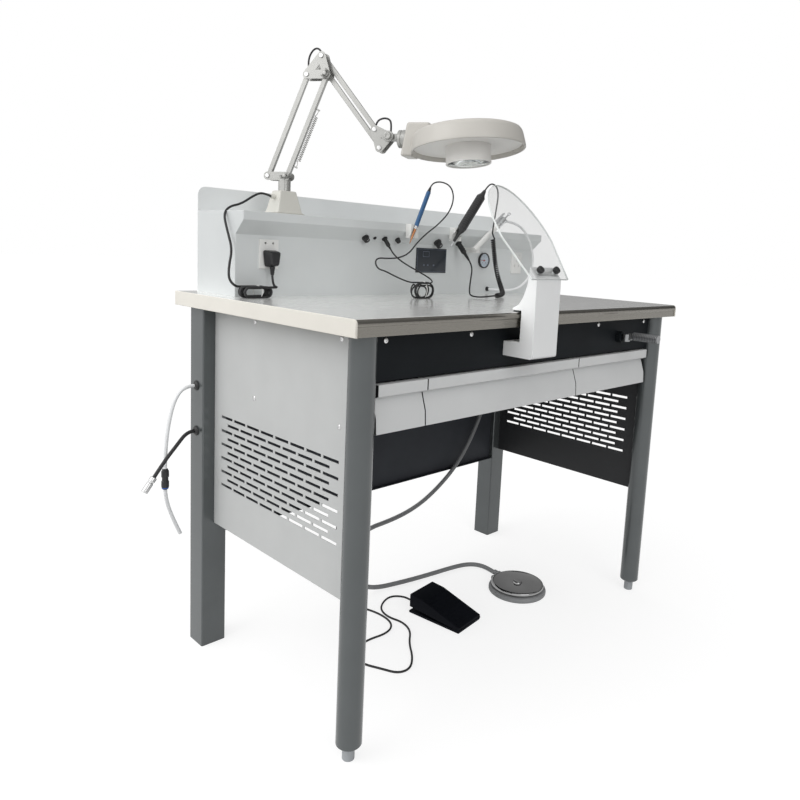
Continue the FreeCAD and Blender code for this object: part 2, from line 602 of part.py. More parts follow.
node("tool_holders", group("tool_holders", pen_holder, tool_holder, gun_holder))

GUN_END = "gun_tube_length + gun_body_length"
GUN_OUTLINE = (("0", "20"), ("gun_nozzle - 1", "20"), ("gun_nozzle", "24"),
               ("gun_nozzle", "gun_tube_length + running_gap"),
               ("gun_body_radius", "gun_tube_length + running_gap"), ("gun_body_radius", GUN_END),
               ("3", GUN_END + " + 5"), ("2.4", GUN_END + " + 20"), ("4.5", GUN_END + " + 23"),
               ("4.5", GUN_END + " + 27"), ("0", GUN_END + " + 30"))
gun_body = leaning(turned("gun_body", GUN_OUTLINE), "gun_x", "gun_z", "gun_lean")
GUN_MIDDLE = "(gun_tube_length + gun_body_length - 9)"
PORT_X = "gun_x + %s * sin(gun_lean)" % GUN_MIDDLE
PORT_Z = "gun_z + %s * cos(gun_lean)" % GUN_MIDDLE
gun_port = rod("gun_port", "supply_radius + 0.5", "gun_body_radius * 2", (PORT_X, "tools_y", PORT_Z), "x")
gun_lug = box("gun_lug", ("4", "5", "6"), ("0", "0", "0"))
turn(gun_lug, (0, 1, 0), "gun_lean")
LUG_X = "(0 - gun_body_radius - 3)"
LUG_Z = "(gun_tube_length + gun_body_length - 10)"
at(gun_lug, ("gun_x + %s * cos(gun_lean) + %s * sin(gun_lean)" % (LUG_X, LUG_Z), "tools_y - 2.5",
             "gun_z - %s * sin(gun_lean) + %s * cos(gun_lean)" % (LUG_X, LUG_Z)))
PIN_X = "(0 - gun_body_radius - 3 - running_gap)"
PIN_Z = "(gun_tube_length + gun_body_length - 7)"
PIN_SPOT = ("gun_x + %s * cos(gun_lean) + %s * sin(gun_lean)" % (PIN_X, PIN_Z), "tools_y - 4",
            "gun_z - %s * sin(gun_lean) + %s * cos(gun_lean)" % (PIN_X, PIN_Z))
pin_groove = rod("pin_groove", "lever_pin_radius + running_gap", "8", PIN_SPOT, "y")
lever_pin = rod("lever_pin", "lever_pin_radius", "8", PIN_SPOT, "y")
node("air_gun", cut("air_gun", fuse("gun_parts", gun_body, gun_port, gun_lug), pin_groove))
gun_lever = box("gun_lever", ("3", "8", "42"), ("0", "0", "0"))
turn(gun_lever, (0, 1, 0), "gun_lean")
LEVER_X = "(0 - gun_body_radius - 6 - running_gap)"
LEVER_Z = "(gun_tube_length + gun_body_length - 34)"
at(gun_lever, ("gun_x + %s * cos(gun_lean) + %s * sin(gun_lean)" % (LEVER_X, LEVER_Z), "tools_y - 4",
               "gun_z - %s * sin(gun_lean) + %s * cos(gun_lean)" % (LEVER_X, LEVER_Z)))
node("air_gun_lever", fuse("air_gun_lever", gun_lever, lever_pin))

# Plugs of the pen and the handpiece, standing on their jacks
pen_plug = fuse("pen_plug", on_soffit("pen_plug_body", "pen_jack_x", "5", "20", "jack_depth"),
                on_soffit("pen_plug_relief", "pen_jack_x", "3", "34", "jack_depth"))
tool_plug = fuse("tool_plug", on_soffit("tool_plug_body", "tool_jack_x", "7", "30", "jack_depth"),
                 on_soffit("tool_plug_relief", "tool_jack_x", "4.5", "56", "jack_depth"))
node("tool_plugs", group("tool_plugs", pen_plug, tool_plug))

# Mains plug of the lamp in the left socket plate
plug_body = box("plug_body", ("36", "26", "36"),
                ("-socket_x - 18", "console_y - socket_thick - 26", "socket_z - 27"))
plug_relief = rod("plug_relief", "5", "18", ("-socket_x", "console_y - socket_thick - 13", "socket_z - 44"))
node("lamp_plug", fuse("lamp_plug", plug_body, plug_relief))


# Task lamp: every piece is drawn in the arm's own upright plane, then swung round the base
def lamp_place(item):
    turn(item, (0, 0, -1), "lamp_yaw")
    return at(item, ("lamp_x", "lamp_y", "0"))


def far_spot(start, length, angle, side, fall):
    x, z = start
    sign = "-" if fall else "+"
    return "%s + (%s) * cos(%s)" % (x, length, angle), side, "%s %s (%s) * sin(%s)" % (z, sign, length, angle)


def link(name, start, length, angle, radius, thick, side, fall=False):
    x, z = start
    item = doc.addObject("Part::Box", name)
    bind(item, "Length", length)
    bind(item, "Width", thick)
    bind(item, "Height", "2 * (%s)" % radius)
    turn(item, (0, 1, 0) if fall else (0, -1, 0), angle)
    sign = "-" if fall else "+"
    at(item, ("%s %s (%s) * sin(%s)" % (x, sign, radius, angle), side,
              "%s - (%s) * cos(%s)" % (z, radius, angle)))
    near_end = rod(name + "_near", radius, thick, (x, side, z), "y")
    far_end = rod(name + "_far", radius, thick, far_spot(start, length, angle, side, fall), "y")
    return [item, near_end, far_end]


def bar(name, start, length, angle, side, fall=False):
    x, z = start
    pieces = link(name + "_link", start, length, angle, "bar_radius", "bar_thick", side, fall)
    holes = []
    for spot in ((x, side, z), far_spot(start, length, angle, side, fall)):
        holes.append(rod(name + "_hole", "pin_radius + pin_gap", "bar_thick", spot, "y"))
    return cut(name, fuse(name + "_solid", *pieces), *holes)


LOWER_SIDE = "-bar_thick - 1"
UPPER_SIDE = "1"
REAR_PIVOT = ("-rear_pivot", "pivot_z")
FRONT_PIVOT = ("front_pivot", "pivot_z")
REAR_ELBOW = ("elbow_x - pivot_spread", "elbow_z")
ELBOW = ("elbow_x", "elbow_z")
TOP_ELBOW = ("elbow_x - elbow_back", "elbow_z + elbow_rise")
WRIST = ("wrist_x", "wrist_z")
TOP_WRIST = ("wrist_x - elbow_back", "wrist_z + elbow_rise")
TILT = ("tilt_x", "tilt_z")
BACK_LENGTH = "sqrt(elbow_back * elbow_back + elbow_rise * elbow_rise)"
BACK_ANGLE = "(180 - atan2(elbow_rise; elbow_back) / 1 deg)"


def pin(spot):
    return rod("pin", "pin_radius", "2 * plate_reach", (spot[0], "-plate_reach", spot[1]), "y")


def wing(name, spot, radius):
    return rod(name, radius, "wing_length", (spot[0], "-plate_reach - wing_length", spot[1]), "y")


def plates(name, start, length, angle, fall=False):
    parts = []
    for side in ("-plate_reach", "plate_reach - plate_gauge"):
        parts += link(name, start, length, angle, "plate_radius", "plate_gauge", side, fall)
    return parts


base_foot = box("base_foot", ("lamp_base_width + 8", "lamp_base_depth + 8", "5"),
                ("lamp_x - lamp_base_width / 2 - 4", "lamp_y - lamp_base_depth / 2 - 4", "console_top"))
base_block = doc.addObject("Part::Wedge", "base_block")
for prop, text in (("Xmin", "-lamp_base_width / 2"), ("Xmax", "lamp_base_width / 2"), ("Ymin", "0"),
                   ("Ymax", "lamp_base_height - 4"), ("Zmin", "-lamp_base_depth / 2"),
                   ("Zmax", "lamp_base_depth / 2"),
                   ("X2min", "-lamp_base_top / 2"), ("X2max", "lamp_base_top / 2"),
                   ("Z2min", "-lamp_base_top_depth / 2"), ("Z2max", "lamp_base_top_depth / 2")):
    bind(base_block, prop, text)
base_block.Placement.Rotation = FreeCAD.Rotation(Vec(1, 0, 0), 90)
at(base_block, ("lamp_x", "lamp_y", "console_top + 4"))
spigot = rod("base_spigot", "2 * pin_radius", "lamp_base_height + 12", ("lamp_x", "lamp_y", "console_top"))
GLAND = ("lamp_x - lamp_base_width / 2 - gland_reach", "lamp_y", "console_top + gland_rise")
cord_gland = rod("cord_gland", "5", "lamp_base_width / 2", GLAND, "x")
node("lamp_base", fuse("lamp_base", base_foot, base_block, spigot, cord_gland))

HUB_HEIGHT = "pivot_z - 8 - lamp_base_z - running_gap"
hub_body = rod("hub_body", "plate_reach + 1.5", HUB_HEIGHT, ("0", "0", "lamp_base_z + running_gap"))
hub_bore = rod("hub_bore", "2 * pin_radius + pin_gap", "12.5", ("0", "0", "lamp_base_z - running_gap"))
yoke_hub = cut("yoke_hub", hub_body, hub_bore)
yoke_wing = wing("yoke_wing", FRONT_PIVOT, "wing_radius")
node("lamp_yoke", lamp_place(fuse("lamp_yoke", yoke_hub, yoke_wing, pin(REAR_PIVOT), pin(FRONT_PIVOT),
                                  *plates("yoke_plate", REAR_PIVOT, "pivot_spread", "0"))))
lower_rear = bar("lower_rear", REAR_PIVOT, "lower_length", "lower_angle", LOWER_SIDE)
node("lamp_lower_bar_rear", lamp_place(lower_rear))
lower_front = bar("lower_front", FRONT_PIVOT, "lower_length", "lower_angle", LOWER_SIDE)
pegs = []
for step in ("spring_start", "spring_start + spring_length"):
    foot_spot = ("front_pivot + (%s) * cos(lower_angle)" % step, "-bar_thick / 2 - 1",
                 "pivot_z + (%s) * sin(lower_angle)" % step)
    peg = rod("spring_peg", "1.5", "spring_step + 2.5", foot_spot)
    pegs.append(turn(peg, (0, 1, 0), "180 - lower_angle"))
spring_bar = lamp_place(fuse("spring_bar", lower_front, *pegs))

elbow_wing = wing("elbow_wing", ELBOW, "wing_radius")
FRAME_RUN = "(pivot_spread - elbow_back)"
FRAME_LENGTH = "sqrt(%s * %s + elbow_rise * elbow_rise)" % (FRAME_RUN, FRAME_RUN)
FRAME_ANGLE = "(atan2(elbow_rise; %s) / 1 deg)" % FRAME_RUN
node("lamp_elbow", lamp_place(fuse(
    "lamp_elbow", elbow_wing, pin(REAR_ELBOW), pin(ELBOW), pin(TOP_ELBOW),
    *plates("elbow_foot", REAR_ELBOW, "pivot_spread", "0"),
    *plates("elbow_front", ELBOW, BACK_LENGTH, BACK_ANGLE),
    *plates("elbow_rear", REAR_ELBOW, FRAME_LENGTH, FRAME_ANGLE))))
for name, start in (("bottom", ELBOW), ("top", TOP_ELBOW)):
    upper_bar = bar("upper_" + name, start, "upper_length", "upper_drop", UPPER_SIDE, True)
    node("lamp_upper_bar_" + name, lamp_place(upper_bar))

TILT_LENGTH = "sqrt(tilt_out * tilt_out + tilt_rise * tilt_rise)"
TILT_ANGLE = "(atan2(tilt_rise; tilt_out) / 1 deg)"
UPPER_RUN = "(tilt_out + elbow_back)"
UPPER_FALL = "(elbow_rise - tilt_rise)"
HIGH_LENGTH = "sqrt(%s * %s + %s * %s)" % (UPPER_RUN, UPPER_RUN, UPPER_FALL, UPPER_FALL)
HIGH_ANGLE = "(atan2(%s; %s) / 1 deg)" % (UPPER_FALL, UPPER_RUN)
tilt_wing = wing("tilt_wing", TILT, "wing_radius + 2")
node("lamp_head_bracket", lamp_place(fuse(
    "lamp_head_bracket", tilt_wing, pin(WRIST), pin(TOP_WRIST), pin(TILT),
    *plates("wrist_plate", WRIST, BACK_LENGTH, BACK_ANGLE),
    *plates("wrist_low", WRIST, TILT_LENGTH, TILT_ANGLE),
    *plates("wrist_high", TOP_WRIST, HIGH_LENGTH, HIGH_ANGLE, True))))

# Lamp head: shallow shell round a lens tube, on a white mount block with a tilting lug
HALF = "head_height / 2"
HEAD_OUTLINE = (
    ("lens_radius + head_wall", HALF), ("head_top_radius", HALF), ("head_radius", "-" + HALF),
    ("head_radius - head_wall", "-" + HALF), ("head_top_radius - head_wall", HALF + " - head_wall"),
    ("lens_radius + head_wall", HALF + " - head_wall"), ("lens_radius + head_wall", "-%s - lens_drop" % HALF),
    ("lens_radius", "-%s - lens_drop" % HALF), ("lens_radius", HALF), ("lens_radius + 1", HALF))


def on_head(name, item):
    turn(item, (0, -1, 0), "head_tilt")
    holder = turn(group(name, item), (-1, 0, 0), "head_roll")
    return at(holder, ("head_x", "0", "head_z"))


shell = on_head("shell_place", turned("head_shell", HEAD_OUTLINE))
VOID_OUTLINE = (
    ("0", "-%s - 30" % HALF), ("head_radius - head_wall / 2", "-%s - 30" % HALF),
    ("head_radius - head_wall / 2", "-" + HALF),
    ("head_top_radius - head_wall / 2", HALF + " - head_wall / 2"), ("0", HALF + " - head_wall / 2"))
shell_void = on_head("void_place", turned("shell_void", VOID_OUTLINE))
MOUNT_OUTLINE = (
    ("tilt_x + mount_start", "tilt_z - mount_drop"), ("tilt_x + mount_end", "tilt_z - mount_drop"),
    ("tilt_x + mount_end", "tilt_z + mount_rise"),
    ("tilt_x + mount_start + mount_slant", "tilt_z + mount_rise"))
mount = at(padded("mount_block", "XZ_Plane", MOUNT_OUTLINE, "mount_width"), ("0", "mount_width / 2", "0"))
lug = link("head_lug", TILT, "mount_start + 8", "4", "plate_radius - 2",
           "2 * plate_reach - 2 * plate_gauge - 2", "1 + plate_gauge - plate_reach", True)
boss = rod("head_boss", "boss_radius", "mount_start - boss_start + 8",
           ("tilt_x + boss_start", "0", "tilt_z - 4"), "x")
lug_hole = rod("lug_hole", "pin_radius + pin_gap", "2 * plate_reach", (TILT[0], "-plate_reach", TILT[1]), "y")
mount_trim = cut("mount_trim", fuse("mount_solid", mount, boss), shell_void)
node("lamp_head", lamp_place(cut("lamp_head", fuse("head_solid", shell, mount_trim, *lug), lug_hole)))
DROP = "(lens_drop + head_height / 2 - 4)"
LENS_OUTLINE = (("0", "-7"), ("lens_radius * 0.6", "-5"), ("lens_radius", "-1.5"), ("lens_radius", "1.5"),
                ("lens_radius * 0.6", "5"), ("0", "7"))
lens = on_head("lens_place", turned("lens_body", tuple((x, "%s - %s" % (z, DROP)) for x, z in LENS_OUTLINE)))
node("lamp_lens", lamp_place(group("lamp_lens", lens)))

# Suction post hooked over the worktop edge, with its pad, knobs and clear shield
POST_OUTLINE = (
    ("post_front", "post_bottom"), ("apron_y", "post_bottom"), ("apron_y", "post_bottom + post_arm"),
    ("front - post_clear", "post_bottom + post_arm + 2"), ("front - post_clear", "hook_z"),
    ("front + hook_reach", "hook_z"), ("front + hook_reach", "hook_z + hook_thick"),
    ("front + hook_reach - 13", "hook_z + hook_thick + 7"), ("front - 4", "hook_z + hook_thick + 22"),
    ("front - 12", "hook_z + hook_thick + 46"), ("seat_back", "seat_top - 14"), ("seat_back", "seat_top"),
    ("post_front", "seat_z"))
post = padded("suction_post", "YZ_Plane", POST_OUTLINE, "post_width")
rounded(post, lambda spot, way: abs(way.x) > 0.9 and spot.z < number("post_bottom") + 1
        and spot.y < number("front"), "6")
node("suction_post", at(post, ("post_x - post_width / 2", "0", "0")))


def on_seat(name, x, radius, length, step, lift):
    item = doc.addObject("Part::Cylinder", name)
    bind(item, "Radius", radius)
    bind(item, "Height", length)
    turn(item, (1, 0, 0), "90 - shield_lean")
    return at(item, (x, "post_front + (%s) * sin(shield_lean) - (%s) * cos(shield_lean)" % (step, lift),
                     "seat_z + (%s) * cos(shield_lean) + (%s) * sin(shield_lean)" % (step, lift)))


fittings = [box("post_pad", ("post_width - 6", "hook_reach - 4", "pad_thick"),
                ("post_x - post_width / 2 + 3", "front + 4", "worktop_height"))]
seat_holes = []
for side in ("-shield_knob_spread / 2", "shield_knob_spread / 2"):
    spot = "post_x + " + side
    head = on_seat("shield_knob", spot, "shield_knob_radius", "shield_knob_depth", "shield_knob_step",
                   "shield_thick")
    stem = on_seat("shield_stem", spot, "pin_radius", "shield_thick + 2", "shield_knob_step", "0")
    fittings.append(fuse("shield_screw", head, stem))
    seat_holes.append(on_seat("shield_hole", spot, "pin_radius + running_gap", "shield_thick + 4",
                              "shield_knob_step", "-2"))
node("post_fittings", group("post_fittings", *fittings))

arch_centre = Vec(0, number("shield_straight"), 0)
tall, half = number("shield_arch"), number("shield_half")
ellipse = Part.Ellipse(arch_centre + Vec(0, tall, 0), arch_centre + Vec(half, 0, 0), arch_centre)
low_left = Vec(-number("shield_base"), 0, 0)
low_right = Vec(number("shield_base"), 0, 0)
right_end = arch_centre + Vec(half, 0, 0)
left_end = arch_centre + Vec(-half, 0, 0)
start_turn = ellipse.parameter(right_end)
arch = Part.ArcOfEllipse(ellipse, start_turn, start_turn + math.pi)
if arch.value(0.5 * (arch.FirstParameter + arch.LastParameter)).y < arch_centre.y:
    arch = Part.ArcOfEllipse(ellipse, start_turn + math.pi, start_turn + 2 * math.pi)
outline = Part.Wire(Part.__sortEdges__([
    Part.LineSegment(low_left, low_right).toShape(), Part.LineSegment(low_right, right_end).toShape(),
    arch.toShape(), Part.LineSegment(left_end, low_left).toShape()]))
sheet_solid = Part.Face(outline).extrude(Vec(0, 0, number("shield_thick")))
shield_blank = doc.addObject("Part::Feature", "shield_blank")
shield_blank.Shape = sheet_solid
turn(shield_blank, (1, 0, 0), "90 - shield_lean")
at(shield_blank, ("post_x", "post_front", "seat_z"))
node("shield", cut("shield", shield_blank, *seat_holes))

# Wedge pedal: floor plate and the hinged cover above it
PEDAL_BASE = (("0", "0"), ("pedal_length", "0"), ("pedal_length", "pedal_plate"), ("0", "pedal_plate"))
PEDAL_COVER = (("0", "pedal_plate + running_gap"), ("pedal_length", "pedal_plate + pedal_lift"),
               ("pedal_length", "pedal_high"), ("0.75 * pedal_length", "pedal_high - 3"), ("0", "pedal_low"))


def pedal_piece(name, item):
    holder = group(name, item)
    turn(holder, (0, 0, 1), "pedal_turn")
    at(holder, ("pedal_x - pedal_width / 2 * cos(pedal_turn) + pedal_length / 2 * sin(pedal_turn)",
                "pedal_cy - pedal_width / 2 * sin(pedal_turn) - pedal_length / 2 * cos(pedal_turn)", "0"))
    node(name, holder)


HINGE_SPOT = ("0", "0", "pedal_plate + running_gap")
hinge_groove = rod("hinge_groove", "pedal_hinge_radius + running_gap", "pedal_width", HINGE_SPOT, "x")
hinge_roll = rod("hinge_roll", "pedal_hinge_radius", "pedal_width", HINGE_SPOT, "x")
plate_blank = padded("plate_blank", "YZ_Plane", PEDAL_BASE, "pedal_width")
wedge_blank = padded("wedge_blank", "YZ_Plane", PEDAL_COVER, "pedal_width")
pedal_piece("pedal_base", cut("floor_plate", plate_blank, hinge_groove))
pedal_piece("pedal_cover", fuse("pedal_wedge", wedge_blank, hinge_roll))

# Round foot control: grey base with a hose port, and the pressed chrome disc
FOOT_BASE = (("0", "0"), ("foot_control_radius", "0"), ("foot_control_radius", "foot_base_height - 4"),
             ("foot_control_radius - 4", "foot_base_height"),
             ("disc_radius - 22 + running_gap", "foot_base_height"),
             ("disc_radius - 22 + running_gap", "foot_base_height - 2 * disc_travel - 0.5"),
             ("0", "foot_base_height - 2 * disc_travel - 0.5"))
foot_body = at(turned("foot_body", FOOT_BASE), ("foot_x", "foot_cy", "0"))
port = doc.addObject("Part::Cylinder", "hose_port")
bind(port, "Radius", "hose_radius + 1")
bind(port, "Height", "hose_port_length + 6")
port.Placement.Rotation = FreeCAD.Rotation(Vec(-1, 0, 0), 90)
port_holder = group("port_holder", at(port, ("0", "foot_control_radius - 6", "hose_radius + 2")))
turn(port_holder, (0, 0, -1), "hose_port_turn")
at(port_holder, ("foot_x", "foot_cy", "0"))
node("foot_control_base", fuse("foot_control_base", foot_body, port_holder))
DISC = (("0", "foot_base_height - disc_travel"), ("disc_radius - 22", "foot_base_height - disc_travel"),
        ("disc_radius - 22", "foot_base_height + disc_travel + 0.5"),
        ("disc_radius", "foot_base_height + disc_travel + 0.5"),
        ("disc_radius", "foot_base_height + disc_height - 4"),
        ("disc_radius - 6", "foot_base_height + disc_height"), ("0", "foot_base_height + disc_height + 2"))
node("foot_control_disc", at(turned("foot_control_disc", DISC), ("foot_x", "foot_cy", "0")))

# Knee lever: hub on the apron boss, bent link and grip pointing at the user
HUB_Y = "apron_y - knee_boss - 9 - running_gap"
knee_hub = rod("knee_hub", "9", "18", ("knee_x", HUB_Y, "knee_z2 - 9"))
knee_step = box("knee_step", ("12", "8", "16"), ("knee_x - 4", HUB_Y + " - 13", "knee_z2 - 5"))
knee_link = rod("knee_link", "3.5", "apron_setback - knee_boss + 2",
                ("knee_x + 4", HUB_Y + " - 8", "knee_z2 + 5"), "-y")
knee_grip = rod("knee_grip", "knee_grip_radius", "knee_grip_length",
                ("knee_x + 4", "front - knee_reach + knee_grip_length", "knee_z2 + 5"), "-y")
node("knee_lever", fuse("knee_lever", knee_hub, knee_step, knee_link, knee_grip))


# Cords and hoses: straight runs joined by tangent arcs, and wound lengths on pairs of arcs
def bends(name, points):
    edges = []
    radii = []
    last = points[0]
    for before, corner, after in zip(points, points[1:], points[2:]):
        come = corner - before
        go = after - corner
        trim = 0.45 * min(come.Length, go.Length)
        come.normalize()
        go.normalize()
        half_turn = come.getAngle(go) / 2
        radius = trim / math.tan(half_turn)
        inward = go - come
        inward.normalize()
        start = corner - come * trim
        end = corner + go * trim
        middle = corner + inward * (radius / math.cos(half_turn) - radius)
        edges.append(Part.LineSegment(last, start).toShape())
        edges.append(Part.Arc(start, middle, end).toShape())
        radii.append(radius)
        last = end
    edges.append(Part.LineSegment(last, points[-1]).toShape())
    print(name, "bends", [round(radius) for radius in radii])
    return edges


def tube_on(name, edges, diameter):
    wire = Part.Wire(edges)
    start = edges[0].valueAt(edges[0].FirstParameter)
    along = edges[0].tangentAt(edges[0].FirstParameter)
    ring = Part.Wire([Part.Circle(start, along, diameter / 2).toShape()])
    solid = wire.makePipeShell([ring], True, False)
    ratio = solid.Volume / (math.pi * diameter * diameter / 4 * wire.Length)
    print(name, "length", round(wire.Length), "volume ratio", round(ratio, 4))
    return solid


def cord(name, points, diameter):
    return tube_on(name, bends(name, points), diameter)


def two_arcs(start, start_way, end, end_way):
    span = end - start
    both = start_way + end_way
    spread = 2 * (1 - start_way.dot(end_way))
    if spread < 1e-9:
        return [Part.LineSegment(start, end).toShape()]
    reach = (-span.dot(both) + math.sqrt(span.dot(both) ** 2 + spread * span.dot(span))) / spread
    joint = (start + end + (start_way - end_way) * reach) * 0.5
    arcs = []
    for first, way, last in ((start, start_way, joint), (end, end_way * -1, joint)):
        chord = last - first
        side = chord - way * chord.dot(way)
        if side.Length < 1e-7:
            arcs.append(Part.LineSegment(first, last))
            continue
        sweep = 2 * math.atan2(side.Length, chord.dot(way))
        radius = chord.Length / (2 * math.sin(sweep / 2))
        side.normalize()
        middle = first + way * (radius * math.sin(sweep / 2)) + side * (radius * (1 - math.cos(sweep / 2)))
        arcs.append(Part.Arc(first, middle, last))
    second = arcs[1]
    if isinstance(second, Part.LineSegment):
        second = Part.LineSegment(joint, end)
    else:
        second = Part.Arc(joint, second.value((second.FirstParameter + second.LastParameter) / 2), end)
    return [arcs[0].toShape(), second.toShape()]


def wound(name, stations, diameter):
    edges = []
    for (start, start_way), (end, end_way) in zip(stations, stations[1:]):
        edges += two_arcs(start, start_way, end, end_way)
    dots = []
    travelled = 0
    for edge in edges:
        count = max(2, int(edge.Length / 0.8))
        for step in range(count):
            spot = edge.valueAt(edge.getParameterByLength(edge.Length * step / count))
            dots.append((travelled + edge.Length * step / count, spot))
        travelled += edge.Length
    closest = 1000
    for here, spot in dots[::2]:
        for there, other in dots:
            if there - here > 4 * diameter:
                closest = min(closest, (spot - other).Length)
    print(name, "closest turns leave", round(closest - diameter, 2))
    return tube_on(name, edges, diameter)


def unit(x, y, z):
    way = Vec(x, y, z)
    way.normalize()
    return way


def hank(centre, straight, radius, pitch, turns):
    loop = 2 * straight + 2 * math.pi * radius
    quarter = math.pi * radius / 2
    corners = ((0, -straight / 2, radius, 1, 0), (straight, straight / 2, radius, 1, 0),
               (straight + quarter, straight / 2 + radius, 0, 0, -1),
               (straight + 2 * quarter, straight / 2, -radius, -1, 0),
               (2 * straight + 2 * quarter, -straight / 2, -radius, -1, 0),
               (2 * straight + 3 * quarter, -straight / 2 - radius, 0, 0, 1))
    slope = pitch / loop
    stations = []
    for lap in range(turns):
        for run, across, rise, way_across, way_up in corners:
            depth = slope * (lap * loop + run) - slope * loop * turns / 2
            stations.append((centre + Vec(across, -depth, rise), unit(way_across, -slope, way_up)))
    for run, across in ((0, -straight / 2), (0.6 * straight, 0.1 * straight)):
        depth = slope * (turns * loop + run) - slope * loop * turns / 2
        stations.append((centre + Vec(across, -depth, radius), unit(1, -slope, 0)))
    return stations


def curl(axis_edges, radius, turns, lead):
    total = sum(edge.Length for edge in axis_edges)
    steps = 4 * turns
    side = None
    stations = []
    for step in range(steps + 1):
        distance = min(total * step / steps, total - 1e-6)
        for edge in axis_edges:
            if distance <= edge.Length:
                break
            distance -= edge.Length
        parameter = edge.getParameterByLength(distance)
        spot = edge.valueAt(parameter)
        along = edge.tangentAt(parameter)
        if side is None:
            side = along.cross(Vec(0.3, 0.9, 0.1))
            stations.append((spot - along * (lead + 4), along * 1))
            stations.append((spot - along * lead, along * 1))
        side = side - along * side.dot(along)
        side.normalize()
        other = along.cross(side)
        angle = step * math.pi / 2
        away = side * math.cos(angle) + other * math.sin(angle)
        round_way = other * math.cos(angle) - side * math.sin(angle)
        way = along * (total / turns) + round_way * (2 * math.pi * radius)
        way.normalize()
        stations.append((spot + away * radius, way))
    stations.append((spot + along * lead, along * 1))
    stations.append((spot + along * (lead + 4), along * 1))
    return stations


def solids_node(name, *solids):
    item = doc.addObject("Part::Feature", name)
    item.Shape = solids[0] if len(solids) == 1 else Part.makeCompound(list(solids))
    node(name, item)


FRONT = number("front")
TOP = number("worktop_height")
UNDER = number("under")


def bench(*spots):
    return [Vec(x, FRONT + y, TOP + z) for x, y, z in spots]


def floor(*spots):
    return [Vec(x, FRONT + y, z) for x, y, z in spots]


SOFFIT_DOWN = unit(0, -number("soffit_rise"), -number("soffit_reach"))
CONTROL = Vec(0, number("control_y"), number("control_z"))

# Lamp mains cord: base gland, over the console end, hank on the worktop, plug
lamp_wire = 5
gland = Vec(number("lamp_x") - number("lamp_base_width") / 2 - number("gland_reach"), number("lamp_y"),
            number("console_top") + number("gland_rise"))
coil = hank(bench((-476, 415, 12.3))[0], 44, 9.5, 5.8, 5)
coil_start, start_way = coil[0]
coil_end, end_way = coil[-1]
relief = Vec(-number("socket_x"), number("console_y") - number("socket_thick") - 13,
             number("socket_z") - 44.2)
first = [gland, gland + Vec(-22, -4, 6)] + bench(
    (-424, 508, 214), (-458, 505, 192), (-492, 496, 184), (-512, 482, 167), (-513, 464, 133), (-513, 444, 96),
    (-524, 437, 64), (-528, 431, 37)) + [coil_start - start_way * 16, coil_start]
second = [coil_end, coil_end + end_way * 20, relief + Vec(-6, -32.5, -22.5), relief + Vec(0, -3, -22),
          relief]
solids_node("lamp_cord", cord("lamp_cord", first, lamp_wire), cord("lamp_cord_end", second, lamp_wire))
solids_node("lamp_hank", wound("lamp_hank", coil, lamp_wire))

# Pen cord: plug, hank on the worktop, loop up over the console to the pen
pen_wire = 3.5
plug_end = CONTROL + Vec(number("pen_jack_x"), 0, 0) + SOFFIT_DOWN * (number("jack_depth") + 34)
coil = hank(bench((-75, 335, 19.2))[0], 26, 17, 4.2, 5)
coil_start, start_way = coil[0]
coil_end, end_way = coil[-1]
lean = math.radians(number("pen_lean"))
pen_way = unit(math.sin(lean), 0, math.cos(lean))
pen_end = Vec(number("pen_tip_x"), number("tools_y"), number("tool_tip_z")) + pen_way * number("pen_length")
first = [coil_end, coil_end + end_way * 14] + bench(
    (-46, 330, 40), (-44, 344, 48), (-62, 364, 62), (-90, 386, 80)) + [plug_end + SOFFIT_DOWN * 16, plug_end]
second = [coil_start, coil_start - start_way * 16] + bench(
    (-122, 352, 42), (-148, 358, 52), (-172, 361, 62), (-190, 365, 66), (-195, 371, 81), (-182, 376, 91),
    (-150, 380, 90), (-110, 384, 92), (-74, 386, 104), (-52, 386, 128), (-22, 386, 152), (24, 386, 180),
    (62, 387, 213), (76, 388, 248), (66, 391, 276), (36, 396, 285)) + [pen_end + pen_way * 14, pen_end]
solids_node("pen_cord", cord("pen_cord", first, pen_wire), cord("pen_cord_end", second, pen_wire))
solids_node("pen_hank", wound("pen_hank", coil, pen_wire))

# Handpiece cord: plug, curled length from the worktop upwards, plain length to the handpiece
tool_wire = 4
plug_end = CONTROL + Vec(number("tool_jack_x"), 0, 0) + SOFFIT_DOWN * (number("jack_depth") + 56)
axis = bends("curl_axis", bench((229, 380, 152), (237, 378, 104), (236, 364, 58), (226, 336, 18),
                                (200, 310, 7), (156, 296, 7)))
stations = curl(axis, 4.6, 40, 14)
curl_top, top_way = stations[0]
curl_low, low_way = stations[-1]
lean = math.radians(number("handpiece_lean"))
tool_way = unit(math.sin(lean), 0, math.cos(lean))
tool_tip = Vec(number("handpiece_tip_x"), number("tools_y"), number("tool_tip_z"))
tool_end = tool_tip + tool_way * number("handpiece_length")
solids_node("handpiece_curl", wound("handpiece_curl", stations, tool_wire))
plug_run = [curl_low, curl_low + low_way * 18] + bench(
    (98, 286, 5), (82, 300, 4), (86, 326, 6), (108, 348, 20), (134, 368, 46))
plug_run += [plug_end + SOFFIT_DOWN * 22, plug_end]
tool_run = [tool_end, tool_end + tool_way * 16] + bench(
    (231, 396, 300), (244, 389, 292), (246, 384, 270), (236, 381, 228), (230, 381, 194)) + [curl_top]
solids_node("handpiece_cord", cord("handpiece_cord", plug_run, tool_wire),
            cord("handpiece_cord_end", tool_run, tool_wire))

